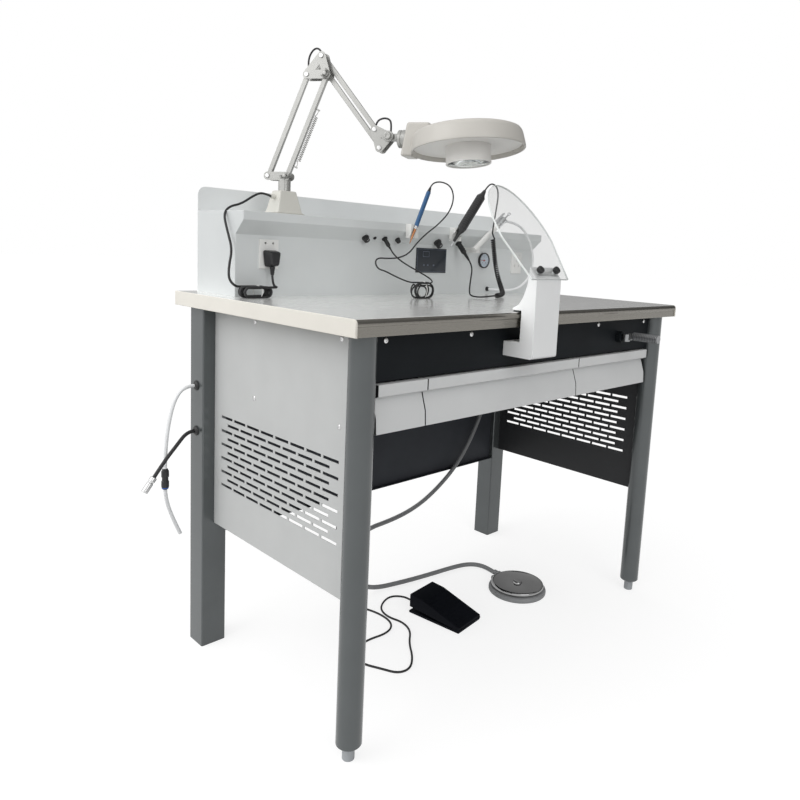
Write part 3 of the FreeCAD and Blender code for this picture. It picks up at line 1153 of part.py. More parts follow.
# Air gun hose: from the gun's side port round a standing loop to the port low on the console
gun_lean = math.radians(number("gun_lean"))
reach = number("gun_tube_length") + number("gun_body_length") - 9
hose_start = Vec(number("gun_x") + reach * math.sin(gun_lean) + 2 * number("gun_body_radius"),
                 number("tools_y"), number("gun_z") + reach * math.cos(gun_lean))
hose_end = Vec(number("air_port_x"), number("console_y") - number("air_port_length") - 0.2,
               TOP + number("air_port_rise"))
hose_run = [hose_start, hose_start + Vec(26, 0, -1)] + bench(
    (372, 399, 193), (404, 398, 170), (428, 398, 138), (440, 398, 98), (432, 398, 58), (404, 399, 30),
    (368, 401, 15), (331, 406, 12)) + [hose_end + Vec(3, -26, 0), hose_end]
solids_node("air_gun_hose", cord("air_gun_hose", hose_run, 2 * number("supply_radius") - 1.5))


# Short cables of the lamp, bridging its joints
def lamp_spots(*spots):
    yaw = math.radians(-number("lamp_yaw"))
    centre = Vec(number("lamp_x"), number("lamp_y"), 0)
    out = Vec(math.cos(yaw), math.sin(yaw), 0)
    side = Vec(-math.sin(yaw), math.cos(yaw), 0)
    return [centre + out * r + side * n + Vec(0, 0, z) for r, n, z in spots]


rear_x = number("elbow_x") - number("pivot_spread")
high_x = number("elbow_x") - number("elbow_back")
low_z = number("elbow_z")
high_z = low_z + number("elbow_rise")
grip = number("pin_radius") + 0.1
solids_node("lamp_elbow_cable", cord("lamp_elbow_cable", lamp_spots(
    (rear_x - 0.5, 5, low_z + grip), (rear_x - 5, 5, low_z + 20), (rear_x - 2, 3, low_z + 42),
    (rear_x + 12, 0, low_z + 57), (high_x - 6, -4, high_z + 15), (high_x - 0.5, -5, high_z + grip)), 4))
hand_x = number("wrist_x") - number("elbow_back")
hand_z = number("wrist_z") + number("elbow_rise")
rim_z = number("tilt_z") + number("plate_radius") + 0.2
solids_node("lamp_head_cable", cord("lamp_head_cable", lamp_spots(
    (hand_x, -5, hand_z + grip), (hand_x + 0.5, -5, hand_z + 17), (hand_x + 17, -6, hand_z + 25),
    (hand_x + 33, -8, hand_z + 21), (number("tilt_x") + 4.5, -9.8, rim_z + 13),
    (number("tilt_x") + 4, -9.8, rim_z)), 4))

# Balance spring beside the lower front bar, between its two pegs
arm_angle = math.radians(number("lower_angle"))


def beside_bar(step):
    out = number("spring_step")
    return (number("front_pivot") + step * math.cos(arm_angle) + out * math.sin(arm_angle),
            -number("bar_thick") / 2 - 1,
            number("pivot_z") + step * math.sin(arm_angle) - out * math.cos(arm_angle))


spring_lead = 9
low_peg = number("spring_start") + 1.5
high_peg = number("spring_start") + number("spring_length") - 1.5
spring_axis = [Part.LineSegment(*lamp_spots(beside_bar(low_peg + spring_lead + 4),
                                            beside_bar(high_peg - spring_lead - 4))).toShape()]
spring = doc.addObject("Part::Feature", "balance_spring")
spring.Shape = wound("balance_spring", curl(spring_axis, 3.4, 26, spring_lead), 1.6)
node("lamp_lower_bar_front", group("lamp_lower_bar_front", spring_bar, spring))

# Foot hose: along the floor, round an upright turn and up to the coupling under the worktop
port_turn = math.radians(number("hose_port_turn"))
port_way = unit(math.sin(port_turn), math.cos(port_turn), 0)
port_end = number("foot_control_radius") + number("hose_port_length")
hose_start = Vec(number("foot_x"), number("foot_cy"), number("hose_radius") + 2) + port_way * port_end
hose_end = Vec(number("leg_in") - number("coupling_inset"),
               number("rear_leg_front") - number("coupling_step"), UNDER - number("coupling_length"))
hose_run = [hose_start, hose_start + port_way * 34] + floor(
    (268, 400, 8), (240, 422, 8), (190, 433, 8), (120, 442, 8), (34, 456, 8), (-78, 484, 8), (-124, 494, 54),
    (-124, 507, 118), (-80, 517, 163), (49, 521, 165), (142, 522, 184), (219, 521, 223), (288, 521, 272),
    (342, 520, 338), (382, 520, 404), (412, 520, 480), (430, 520, 560))
hose_run += [hose_end + Vec(0.5, 0, -76), hose_end]
solids_node("foot_hose", cord("foot_hose", hose_run, 2 * number("hose_radius")))

# Pedal cord: loose loops on the floor, then up behind the legs to the underside of the bench
pedal_turn = math.radians(number("pedal_turn"))
pedal_way = unit(-math.sin(pedal_turn), math.cos(pedal_turn), 0)
pedal_exit = Vec(number("pedal_x"), number("pedal_cy"), 3) + pedal_way * (number("pedal_length") / 2)
pedal_run = [pedal_exit, pedal_exit + pedal_way * 30] + floor(
    (-22, 404, 3), (-48, 428, 3), (-86, 416, 3), (-116, 390, 3), (-124, 350, 3), (-112, 312, 3),
    (-124, 270, 3), (-164, 234, 3), (-197, 187, 3), (-232, 158, 3), (-264, 164, 3), (-280, 200, 3),
    (-300, 240, 3), (-296, 276, 3), (-268, 300, 3), (-226, 306, 3), (-182, 299, 3), (-150, 309, 3),
    (-132, 336, 3), (-130, 380, 3), (-142, 424, 3), (-160, 462, 3), (-172, 496, 18), (-168, 508, 56))
climb = 11
for step in range(climb):
    height = 56 + (UNDER - 56) * (step + 1) / climb
    pedal_run.append(Vec(-166 + 5 * (-1) ** step, FRONT + 509 + 2 * (step % 3), height))
pedal_run[-1] = Vec(-165, FRONT + 511, UNDER)
solids_node("pedal_cord", cord("pedal_cord", pedal_run, 5))

# Supply lines at the rear left leg: air tube with a coupling, and mains cable with an end sleeve
wall_x = -number("leg_out") - number("grommet_out")
air = Vec(wall_x, number("grommet_y"), number("air_grommet_z"))
mains = Vec(wall_x, number("grommet_y"), number("mains_grommet_z"))
air_width = 2 * number("supply_radius")
UPPER_STEPS = ((0, 0, 0), (-20, 0, 0), (-38, 0, -16), (-50, 0, -44), (-60, 0, -92), (-65, 0, -145),
               (-65, 0, -174))
LOWER_STEPS = ((-65, 0, -220), (-64, 0, -236), (-58, 0, -262), (-46, 0, -294), (-31, 0, -328))
MAINS_STEPS = ((0, 0, 0), (-16, 0, 0), (-44, -8, -25), (-72, -15, -50), (-97, -18, -81))
upper_run = [air + Vec(*step) for step in UPPER_STEPS]
lower_run = [air + Vec(*step) for step in LOWER_STEPS]
solids_node("air_supply_tube", cord("air_supply_tube", upper_run, air_width),
            cord("air_supply_end", lower_run, air_width))
coupling_span = (upper_run[-1] - lower_run[0]).Length
coupling = Part.makeCylinder(air_width / 2 + 4, coupling_span, upper_run[-1], Vec(0, 0, -1))
mains_run = [mains + Vec(*step) for step in MAINS_STEPS]
sleeve_way = mains_run[-1] - mains_run[-2]
sleeve_way.normalize()
solids_node("mains_cable", cord("mains_cable", mains_run, 8))
sleeve = Part.makeCylinder(7, 36, mains_run[-1], sleeve_way)
ends = doc.addObject("Part::Feature", "line_ends")
ends.Shape = Part.makeCompound([coupling, sleeve])
grommets = [rod("grommet", "grommet_radius", "grommet_out", ("-leg_out", "grommet_y", height), "-x")
            for height in ("air_grommet_z", "mains_grommet_z")]
node("supply_fittings", group("supply_fittings", ends, *grommets))

doc.recompute()
faults = []
for item in doc.Objects:
    if "Invalid" in item.State or "Error" in item.State:
        faults.append((item.Name, item.State))
for name, item in NODES.items():
    if item.Shape.isNull() or not item.Shape.isValid():
        faults.append((name, "shape"))
if faults:
    raise RuntimeError("pieces not built: %s" % faults)
os.makedirs("parts", exist_ok=True)
for name, item in NODES.items():
    item.Shape.exportStep("parts/%s.step" % name)
print(len(NODES), "pieces written")
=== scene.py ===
import bmesh
import bpy
import json
import math
from mathutils import Matrix, Vector


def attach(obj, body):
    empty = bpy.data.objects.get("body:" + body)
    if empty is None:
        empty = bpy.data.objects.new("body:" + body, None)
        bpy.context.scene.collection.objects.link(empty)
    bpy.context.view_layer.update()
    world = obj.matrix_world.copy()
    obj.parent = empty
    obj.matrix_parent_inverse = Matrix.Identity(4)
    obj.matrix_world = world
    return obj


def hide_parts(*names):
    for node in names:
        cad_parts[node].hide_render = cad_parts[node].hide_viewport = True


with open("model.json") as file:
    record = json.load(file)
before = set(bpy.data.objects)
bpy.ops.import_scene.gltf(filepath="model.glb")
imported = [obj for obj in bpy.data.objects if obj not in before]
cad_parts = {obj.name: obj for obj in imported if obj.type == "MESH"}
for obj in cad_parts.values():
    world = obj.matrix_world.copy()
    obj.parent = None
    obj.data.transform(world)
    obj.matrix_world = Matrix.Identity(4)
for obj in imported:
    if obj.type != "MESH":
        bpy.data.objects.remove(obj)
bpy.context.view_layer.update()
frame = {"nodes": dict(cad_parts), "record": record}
cad = frame["nodes"]
record = frame["record"]
home = {name: body for body, names in record["behaviour"]["bodies"].items() for name in names}

# The bench is seen from its front left corner, at about the height of the lamp's base.
# The camera is tilted a little to its left, and its frame is shifted as the photograph's is.
lens = bpy.data.cameras.new("camera")
lens.sensor_width = 36
lens.lens = 31.45
lens.shift_x = -0.0322
lens.shift_y = -0.0671
camera = bpy.data.objects.new("camera", lens)
bpy.context.scene.collection.objects.link(camera)
bpy.context.scene.camera = camera
swing, drop, roll = math.radians(-45.29), math.radians(7.75), math.radians(2.76)
level = math.cos(drop)
back = Vector((math.sin(swing) * level, -math.cos(swing) * level, math.sin(drop)))
across = Vector((0, 0, 1)).cross(back).normalized()
upright = back.cross(across)
right = math.cos(roll) * across + math.sin(roll) * upright
above = math.cos(roll) * upright - math.sin(roll) * across
aim = Matrix((right, above, back)).transposed().to_4x4()
aim.translation = (-1.24385, -1.11948, 0.91138)
camera.matrix_world = aim


# The room is a plain studio with soft light all round, strongest from the left and above. The
# camera and clear plastic see its backdrop as white, and glossy surfaces see a small share of it.
def plug_in(tree, node, inputs):
    for socket, value in inputs.items():
        if isinstance(value, bpy.types.NodeSocket):
            tree.links.new(value, node.inputs[socket])
        else:
            node.inputs[socket].default_value = value


def new_node(tree, kind, inputs=(), **settings):
    node = tree.nodes.new(kind)
    for name, value in settings.items():
        setattr(node, name, value)
    plug_in(tree, node, dict(inputs))
    return node.outputs


GLOSSY_SHARE = 0.08
MATHS, WHITE = "ShaderNodeMath", (1, 1, 1, 1)
BRIGHT_WAY = Vector((-0.86, 0.14, 0.48)).normalized()
bpy.context.scene.view_settings.view_transform = "Standard"
room = bpy.data.worlds.new("studio")
bpy.context.scene.world = room
room.use_nodes = True
tree = room.node_tree
facing = new_node(tree, "ShaderNodeTexCoord")["Generated"]
toward = new_node(tree, "ShaderNodeVectorMath", {0: facing, 1: BRIGHT_WAY}, operation="DOT_PRODUCT")
strength = new_node(tree, "ShaderNodeMapRange", {"Value": toward["Value"], "From Min": -1})
steep = new_node(tree, MATHS, {0: strength["Result"], 1: 1.5}, operation="POWER")
level = new_node(tree, MATHS, {0: steep["Value"], 1: 1.26, 2: 0.05}, operation="MULTIPLY_ADD")
plug_in(tree, tree.nodes["Background"], {"Color": WHITE, "Strength": level["Value"]})
backdrop = new_node(tree, "ShaderNodeBackground", {"Color": WHITE})
rays = new_node(tree, "ShaderNodeLightPath")
straight = new_node(tree, MATHS, {0: rays["Is Camera Ray"], 1: rays["Is Transmission Ray"]},
                    operation="MAXIMUM")
seen = new_node(tree, MATHS, {0: rays["Is Glossy Ray"], 1: GLOSSY_SHARE, 2: straight["Value"]},
                operation="MULTIPLY_ADD", use_clamp=True)
either = new_node(tree, "ShaderNodeMixShader", {
    "Fac": seen["Value"], 1: tree.nodes["Background"].outputs["Background"],
    2: backdrop["Background"]})
plug_in(tree, tree.nodes["World Output"], {"Surface": either["Shader"]})

LIT_POINT = Vector((0, 0, 0.7))
for name, spot, energy, size in (("window_light", (-2.3, 0.5, 2.1), 16, 1.8),
                                 ("front_light", (-0.7, -3.3, 2.1), 24, 2.2)):
    lamp = bpy.data.lights.new(name, "AREA")
    lamp.energy = energy
    lamp.size = size
    light = bpy.data.objects.new(name, lamp)
    bpy.context.scene.collection.objects.link(light)
    light.location = spot
    light.rotation_euler = (LIT_POINT - light.location).to_track_quat("-Z", "Y").to_euler()

# The floor is one pale sheet that runs out to the backdrop. It glows to the camera and in
# reflections, so that it meets the white there, and it keeps the bench's soft shadow.
FLOOR_GLOW = 0.76
bpy.ops.object.select_all(action="DESELECT")
bpy.ops.mesh.primitive_plane_add(size=60)
floor = bpy.context.active_object
floor.name = "studio_floor"
pale = bpy.data.materials.new("pale_floor")
pale.use_nodes = True
tree = pale.node_tree
tree.nodes.remove(tree.nodes["Principled BSDF"])
shade = new_node(tree, "ShaderNodeBsdfDiffuse", {"Color": (0.34, 0.34, 0.34, 1)})
rays = new_node(tree, "ShaderNodeLightPath")
straight = new_node(tree, MATHS, {0: rays["Is Camera Ray"], 1: rays["Is Glossy Ray"]},
                    operation="MAXIMUM")
seen = new_node(tree, MATHS, {0: straight["Value"], 1: rays["Is Transmission Ray"]},
                operation="MAXIMUM")
level = new_node(tree, MATHS, {0: seen["Value"], 1: FLOOR_GLOW}, operation="MULTIPLY")
glow = new_node(tree, "ShaderNodeEmission", {"Strength": level["Value"]})
both = new_node(tree, "ShaderNodeAddShader", {0: shade["BSDF"], 1: glow["Emission"]})
plug_in(tree, tree.nodes["Material Output"], {"Surface": both["Shader"]})
floor.data.materials.append(pale)


# The legs are steel tubes, square at the rear and round at the front, powder coated in a cool
# metallic grey. The front pair are closed by tapered caps and stand on screwed plastic feet.
# Turned outlines, here and below, are pairs of radius and height in millimetres.
def finish(name, colour, rough, metal=0.0, mottle=0.05, grain=700.0, relief=0.08,
           stretch=(1, 1, 1), shine=0.5):
    made = bpy.data.materials.new(name)
    made.use_nodes = True
    tree = made.node_tree
    place = new_node(tree, "ShaderNodeTexCoord")["Object"]
    lay = new_node(tree, "ShaderNodeMapping", {"Vector": place, "Scale": stretch})["Vector"]
    noise = "ShaderNodeTexNoise"
    slow = new_node(tree, noise, {"Vector": lay, "Scale": 12, "Detail": 5})["Fac"]
    fine = new_node(tree, noise, {"Vector": lay, "Scale": grain, "Detail": 3})["Fac"]
    tones = new_node(tree, "ShaderNodeValToRGB", {"Fac": slow})["Color"]
    dark, light = tones.node.color_ramp.elements
    dark.position, light.position = 0.3, 0.7
    dark.color = (*(part * (1 - mottle) for part in colour), 1)
    light.color = (*(min(1, part * (1 + mottle)) for part in colour), 1)
    gloss = new_node(tree, "ShaderNodeMapRange", {
        "Value": fine, "To Min": rough * 0.8, "To Max": min(1, rough * 1.25)})
    bump = new_node(tree, "ShaderNodeBump", {
        "Height": fine, "Strength": relief, "Distance": 0.0004})
    plug_in(tree, tree.nodes["Principled BSDF"], {
        "Metallic": metal, "Specular IOR Level": shine, "Base Color": tones,
        "Roughness": gloss["Result"], "Normal": bump["Normal"]})
    return made


def only(piece):
    bpy.ops.object.select_all(action="DESELECT")
    piece.select_set(True)
    bpy.context.view_layer.objects.active = piece


def open_all():
    bpy.ops.object.mode_set(mode="EDIT")
    bpy.ops.mesh.select_all(action="SELECT")


def close_up():
    bpy.ops.mesh.select_all(action="SELECT")
    bpy.ops.mesh.normals_make_consistent(inside=False)
    bpy.ops.object.mode_set(mode="OBJECT")


def smooth(piece, angle=35):
    only(piece)
    bpy.ops.object.shade_smooth_by_angle(angle=math.radians(angle))
    even = piece.modifiers.new("even", "WEIGHTED_NORMAL")
    even.keep_sharp = True
    bpy.ops.object.modifier_apply(modifier="even")
    return piece


def trim(piece, material, node):
    piece.data.materials.clear()
    piece.data.materials.append(material)
    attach(piece, home[node])
    return piece


def dress(piece, material, *nodes):
    trim(piece, material, nodes[0])
    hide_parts(*nodes)
    return piece


def eased(name, material, width=0.0, segments=2, chosen=lambda middle, way, length: True):
    piece = bpy.data.objects.new(name + "_eased", cad[name].data.copy())
    bpy.context.scene.collection.objects.link(piece)
    only(piece)
    open_all()
    bpy.ops.mesh.customdata_custom_splitnormals_clear()
    bpy.ops.mesh.remove_doubles(threshold=0.000005)
    bpy.ops.mesh.dissolve_limited(angle_limit=math.radians(0.3))
    if width:
        bpy.ops.mesh.select_all(action="DESELECT")
        bpy.ops.mesh.select_mode(type="EDGE")
        mesh = bmesh.from_edit_mesh(piece.data)
        for edge in mesh.edges:
            start, end = (corner.co for corner in edge.verts)
            if len(edge.link_faces) == 2 and edge.calc_face_angle() > math.radians(32):
                way = (end - start).normalized()
                edge.select = chosen((start + end) / 2, way, edge.calc_length())
        bmesh.update_edit_mesh(piece.data)
        bpy.ops.mesh.bevel(offset=width, segments=segments, affect="EDGES", clamp_overlap=False)
    bpy.ops.object.mode_set(mode="OBJECT")
    return dress(smooth(piece), material, name)


def placed(piece, foot, way):
    only(piece)
    piece.rotation_mode = "QUATERNION"
    piece.rotation_quaternion = Vector(way).to_track_quat("Z", "Y")
    piece.location = foot
    bpy.ops.object.transform_apply()
    return piece


MM = 0.001
UP, FORWARD = Vector((0, 0, 1)), Vector((0, -1, 0))


def turned(name, outline, foot, way, sides=48, edge=0.0003, flute=0.0, ring=False):
    line = [(wide * MM, high * MM) for wide, high in outline]
    if ring:
        line.append(line[0])
    wide, high = line[0]
    fill = "NOTHING" if ring else "NGON"
    bpy.ops.object.select_all(action="DESELECT")
    bpy.ops.mesh.primitive_circle_add(vertices=sides, radius=wide, fill_type=fill)
    piece = bpy.context.active_object
    piece.name = name
    piece.data.transform(Matrix.Translation((0, 0, high)))
    if flute:
        for place, corner in enumerate(piece.data.vertices):
            if place % 4 < 2:
                corner.co.x *= 1 - flute
                corner.co.y *= 1 - flute
    open_all()
    for next_wide, next_high in line[1:]:
        rise = (0, 0, next_high - high)
        bpy.ops.mesh.extrude_region_move(TRANSFORM_OT_translate={"value": rise})
        change = next_wide / wide
        bpy.ops.transform.resize(value=(change, change, 1), center_override=(0, 0, next_high))
        wide, high = next_wide, next_high
    bpy.ops.mesh.select_all(action="SELECT")
    bpy.ops.mesh.remove_doubles(threshold=0.00001 if ring else 0.000002)
    close_up()
    if edge:
        ease = piece.modifiers.new("ease", "BEVEL")
        ease.width = edge
        ease.segments = 2
        ease.limit_method = "ANGLE"
        ease.angle_limit = math.radians(35)
        bpy.ops.object.modifier_apply(modifier="ease")
    return smooth(placed(piece, foot, way), 40 if ring else 35)


def joined(name, pieces):
    bpy.ops.object.select_all(action="DESELECT")
    for piece in pieces:
        piece.select_set(True)
    bpy.context.view_layer.objects.active = pieces[0]
    if len(pieces) > 1:
        bpy.ops.object.join()
    pieces[0].name = name
    return pieces[0]


LEG_FACES = (0.472, 0.530)


def leg_corner(middle, way, length):
    return abs(way.z) > 0.9 and min(abs(abs(middle.x) - face) for face in LEG_FACES) < 0.0005


leg_paint = finish("cool_grey_powder_coat", (0.098, 0.108, 0.110), 0.22, metal=0.3, grain=1100,
                   relief=0.03, shine=0.7)
eased("rear_legs", leg_paint, 0.0035, 3, leg_corner)
LEG_LINE = ((19.5, 28), (21, 28), (24, 31), (24, 770))
LEG_X, LEG_Y = 0.501, -0.2375
tubes = [turned("front_leg", LEG_LINE, (side * LEG_X, LEG_Y, 0), UP, 96, 0.0008)
         for side in (-1, 1)]
dress(joined("front_leg_tubes", tubes), leg_paint, "front_legs")
foot_plastic = finish("grey_foot_plastic", (0.42, 0.44, 0.46), 0.5)
eased("levelling_feet", foot_plastic, 0.0012, 2)


# The side panels are sheet steel with staggered rows of punched slots, light grey outside. Their
# inner faces and the top frame carry one dark coat of painted shade, for the shadow inside the
# bench. The back panel and the apron are sheet steel in a near black finish.
def second_coat(piece, material, covers):
    piece.data.materials.append(material)
    for face in piece.data.polygons:
        if covers(face.center, face.normal):
            face.material_index = 1


panel_paint = finish("light_grey_powder_coat", (0.57, 0.58, 0.575), 0.45, grain=1000, relief=0.10,
                     mottle=0.025)
dark_paint = finish("black_powder_coat", (0.008, 0.010, 0.012), 0.6, grain=1000, relief=0.12,
                    mottle=0.15, shine=0.12)
back_paint = finish("slate_back_coat", (0.040, 0.044, 0.052), 0.6, grain=1000, relief=0.12,
                    mottle=0.1, shine=0.25)
# A dark coat of painted shade, for faces that lie in shadow inside the bench and between drawers.
painted_shade_coat = finish("painted_shade_dark_coat", (0.017, 0.018, 0.020), 0.55, grain=900, relief=0.1,
                      mottle=0.1)
second_coat(eased("side_panels", panel_paint), painted_shade_coat,
            lambda spot, way: way.x * spot.x < -0.2)
for name, coat in (("back_panel", back_paint), ("apron", dark_paint), ("top_frame", painted_shade_coat)):
    cad[name].data.materials.clear()
    cad[name].data.materials.append(coat)

# Pan head screws hold the panels to the frame. Each is a turned bright steel head with a
# round driving recess.
bright_steel = finish("bright_screw_steel", (0.62, 0.62, 0.62), 0.22, metal=1.0, grain=500,
                      relief=0.03)
SCREW_HEAD = ((5, 0), (5, 0.6), (4.3, 1.4), (3.1, 1.9), (1.9, 2), (1.7, 0.9), (0.1, 0.8))
seats = [((side * 0.50175, depth, height), (side, 0, 0))
         for side in (-1, 1) for depth in (-0.1825, 0.0945) for height in (0.756, 0.601)]
seats += [((across, -0.2385, 0.757), FORWARD) for across in (-0.451, -0.230, 0.230, 0.451)]
heads = [turned("panel_screw", SCREW_HEAD, spot, way, 20, 0.0002) for spot, way in seats]
dress(joined("panel_screw_heads", heads), bright_steel, "panel_screws")

# The worktop is a board with ivory laminate ends, covered by one sheet of polished stainless
# steel that is rolled over the front edge in two steps. The sheet is drawn in two copies: its top
# paler and partly diffuse, a painted reflection of the bright room, and its rolled front edge
# darker, painted shade.
ivory_laminate = finish("ivory_laminate", (0.84, 0.81, 0.74), 0.4, grain=500, relief=0.04,
                        mottle=0.03)
eased("worktop_board", ivory_laminate, 0.0012, 3,
      lambda middle, way, length: abs(middle.x) > 0.5495)
# The top's paler, partly diffuse steel is painted reflection; the darker edge copy is painted
# shade.
stainless = finish("polished_stainless_painted_light", (0.94, 0.94, 0.925), 0.20, metal=0.5, mottle=0.03,
                   grain=420, relief=0.02, stretch=(0.05, 1, 1))
painted_shade_rolled_steel = finish("rolled_edge_steel_painted_shade", (0.24, 0.228, 0.205), 0.26, metal=1.0, mottle=0.16,
                      grain=500, relief=0.05, stretch=(0.02, 1, 1))
steel = eased("worktop_steel", stainless, 0.0008, 3,
              lambda middle, way, length: abs(way.x) > 0.9 and middle.y < -0.27)
second_coat(steel, painted_shade_rolled_steel, lambda spot, way: way.y < -0.35 and spot.y < -0.2655)

# Three drawers have folded steel fronts with a finger groove along the top, painted pale grey.
# Their side faces carry the dark coat of painted shade, for the gaps where one front meets the
# next. Behind each front is its plain steel tray.
drawer_paint = finish("pale_grey_drawer_paint", (0.74, 0.75, 0.75), 0.38, grain=900, relief=0.06,
                      mottle=0.02)
for name in ("drawer_left", "drawer_middle", "drawer_right"):
    drawer = eased(name, drawer_paint, 0.0008, 2, lambda middle, way, length: middle.y < -0.2286)
    second_coat(drawer, painted_shade_coat, lambda spot, way: abs(way.x) > 0.95 and spot.y < -0.222)

# The console is a folded steel housing along the rear of the worktop, painted white, with a
# slanted underside for the controls and a taller round-cornered plate behind it. The housing's
# white is drawn darker than the plate's, as painted shade.
# The housing's white is darker than the plate's: painted shade.
shaded_console_paint = finish("white_housing_painted_shade", (0.68, 0.705, 0.705), 0.33, grain=800, relief=0.06,
                       mottle=0.02)
plate_paint = finish("white_back_plate_paint", (0.86, 0.88, 0.88), 0.3, grain=800, relief=0.05,
                     mottle=0.02)
CONSOLE_FOLDS = ((0.1735, 0.928), (0.1425, 0.957), (0.1425, 0.975), (0.3325, 0.975))


def console_edge(middle, way, length):
    if middle.y > 0.3322:
        return False
    near = min(math.hypot(middle.y - fold_y, middle.z - fold_z) for fold_y, fold_z in CONSOLE_FOLDS)
    return abs(middle.x) > 0.5026 or near < 0.0006


console = eased("console_housing", shaded_console_paint, 0.0011, 3, console_edge)
second_coat(console, plate_paint, lambda spot, way: spot.y > 0.3305)

# Each socket plate is moulded white plastic with two round pin holes above three flat slots.
# Black discs and bars sit just behind the holes, painted shade for the dark inside them.
white_plastic = finish("white_moulded_plastic", (0.82, 0.82, 0.80), 0.3, grain=600, relief=0.03,
                       mottle=0.02)
black_plastic = finish("black_moulded_plastic", (0.014, 0.014, 0.015), 0.42, grain=900,
                       relief=0.12, mottle=0.2)
PLATE_X, PIN_X = 0.425, 0.00925


def plate_rim(middle, way, length):
    wide = abs(abs(middle.x) - PLATE_X) > 0.0225
    return middle.y < 0.1732 and (wide or abs(middle.z - 0.889) > 0.0305)


def block(name, low, high, edge=0.0005, segments=2):
    low, high = Vector(low), Vector(high)
    bpy.ops.object.select_all(action="DESELECT")
    bpy.ops.mesh.primitive_cube_add(size=1, location=(low + high) / 2)
    piece = bpy.context.active_object
    piece.name = name
    piece.scale = high - low
    bpy.ops.object.transform_apply()
    open_all()
    bpy.ops.mesh.bevel(offset=edge, segments=segments, affect="EDGES")
    bpy.ops.object.mode_set(mode="OBJECT")
    return smooth(piece)


eased("socket_plates", white_plastic, 0.0012, 3, plate_rim)
# Black discs and bars behind the holes are painted shade for the dark inside them.
PIN_HOLE_SHADE = ((2.3, 0), (2.3, 0.4), (1, 0.5))
hole_shade_pieces = []
for centre in (-PLATE_X, PLATE_X):
    for side in (-PIN_X, PIN_X):
        spot = (centre + side, 0.1734, 0.912)
        hole_shade_pieces.append(turned("pin_hole_shade", PIN_HOLE_SHADE, spot, FORWARD, 20, 0.0001))
    for side, rise in ((-0.009, -0.012), (0.009, -0.012), (0, 0.002)):
        low = (centre + side - 0.0011, 0.1729, 0.8892 + rise)
        high = (centre + side + 0.0011, 0.1734, 0.8958 + rise)
        hole_shade_pieces.append(block("slot_hole_shade", low, high, 0.0001, 1))
trim(joined("socket_hole_shade", hole_shade_pieces), black_plastic, "socket_plates")

# The control panel is a dark glass plate in a thin bezel, with one square display field and
# three small touch keys below it.
slate_glass = finish("slate_panel_glass", (0.022, 0.028, 0.036), 0.14, grain=300, relief=0.01,
                     mottle=0.1)
panel_marks = finish("panel_marks", (0.11, 0.13, 0.17), 0.4, grain=400, relief=0.02)
PANEL_Y = 0.1706
eased("control_panel", slate_glass, 0.0012, 3, lambda middle, way, length: middle.y < PANEL_Y)


def frame_line(name, left, right, bottom, top, band):
    middle = ((left + right) / 2, PANEL_Y, (bottom + top) / 2)
    bpy.ops.object.select_all(action="DESELECT")
    bpy.ops.mesh.primitive_plane_add(size=1, location=middle, rotation=(math.radians(90), 0, 0))
    piece = bpy.context.active_object
    piece.name = name
    piece.scale = (right - left, top - bottom, 1)
    bpy.ops.object.transform_apply()
    open_all()
    bpy.ops.mesh.inset(thickness=band)
    bpy.ops.mesh.delete(type="FACE")
    bpy.ops.mesh.select_all(action="SELECT")
    bpy.ops.mesh.extrude_region_move(TRANSFORM_OT_translate={"value": (0, -0.0003, 0)})
    close_up()
    return piece


marks = [frame_line("panel_bezel", 0.0135, 0.1185, 0.8585, 0.9165, 0.0007),
         frame_line("display_field", 0.033, 0.056, 0.8965, 0.911, 0.0011)]
for across in (0.0375, 0.052, 0.0735):
    low, high = (across - 0.0028, 0.1702, 0.8735), (across + 0.0028, PANEL_Y, 0.8775)
    marks.append(block("touch_key", low, high, 0.00015))
trim(joined("panel_markings", marks), panel_marks, "control_panel")

# Two black knobs stand square on the slanted underside: a round skirt, a fluted grip and a
# white pointer line, moulded in one piece.
SOFFIT_DOWN = Vector((0, -0.029, -0.031)).normalized()
KNOB_LIFT = 0.0003
white_line = finish("white_pointer_line", (0.85, 0.85, 0.83), 0.4, grain=400, relief=0.02)


def soffit_spot(across, lift=0.0):
    return Vector((across, 0.16396, 0.93688)) + SOFFIT_DOWN * lift


def knob(name, across, radius, depth):
    skirt_line = ((radius, 0), (radius, 0.24 * depth), (0.86 * radius, 0.3 * depth),
                  (0.4 * radius, 0.32 * depth))
    grip_line = ((0.82 * radius, 0.2 * depth), (0.8 * radius, 0.94 * depth), (0.72 * radius, depth),
                 (0.3 * radius, depth))
    foot = soffit_spot(across, KNOB_LIFT)
    skirt = turned("skirt", skirt_line, foot, SOFFIT_DOWN)
    grip = turned("grip", grip_line, foot, SOFFIT_DOWN, 72, 0.0002, 0.05)
    dress(joined(name + "_moulding", [skirt, grip]), black_plastic, name)
    low = (-0.0006, 0.1 * radius * MM, -0.0002)
    high = (0.0006, 0.7 * radius * MM, 0.00015)
    line = block(name + "_pointer", low, high, 0.0001, 1)
    trim(placed(line, soffit_spot(across, KNOB_LIFT + depth * MM), SOFFIT_DOWN), white_line, name)


knob("dial_knob", across=-0.168, radius=9, depth=12)
knob("speed_knob", across=0.076, radius=10.5, depth=17)

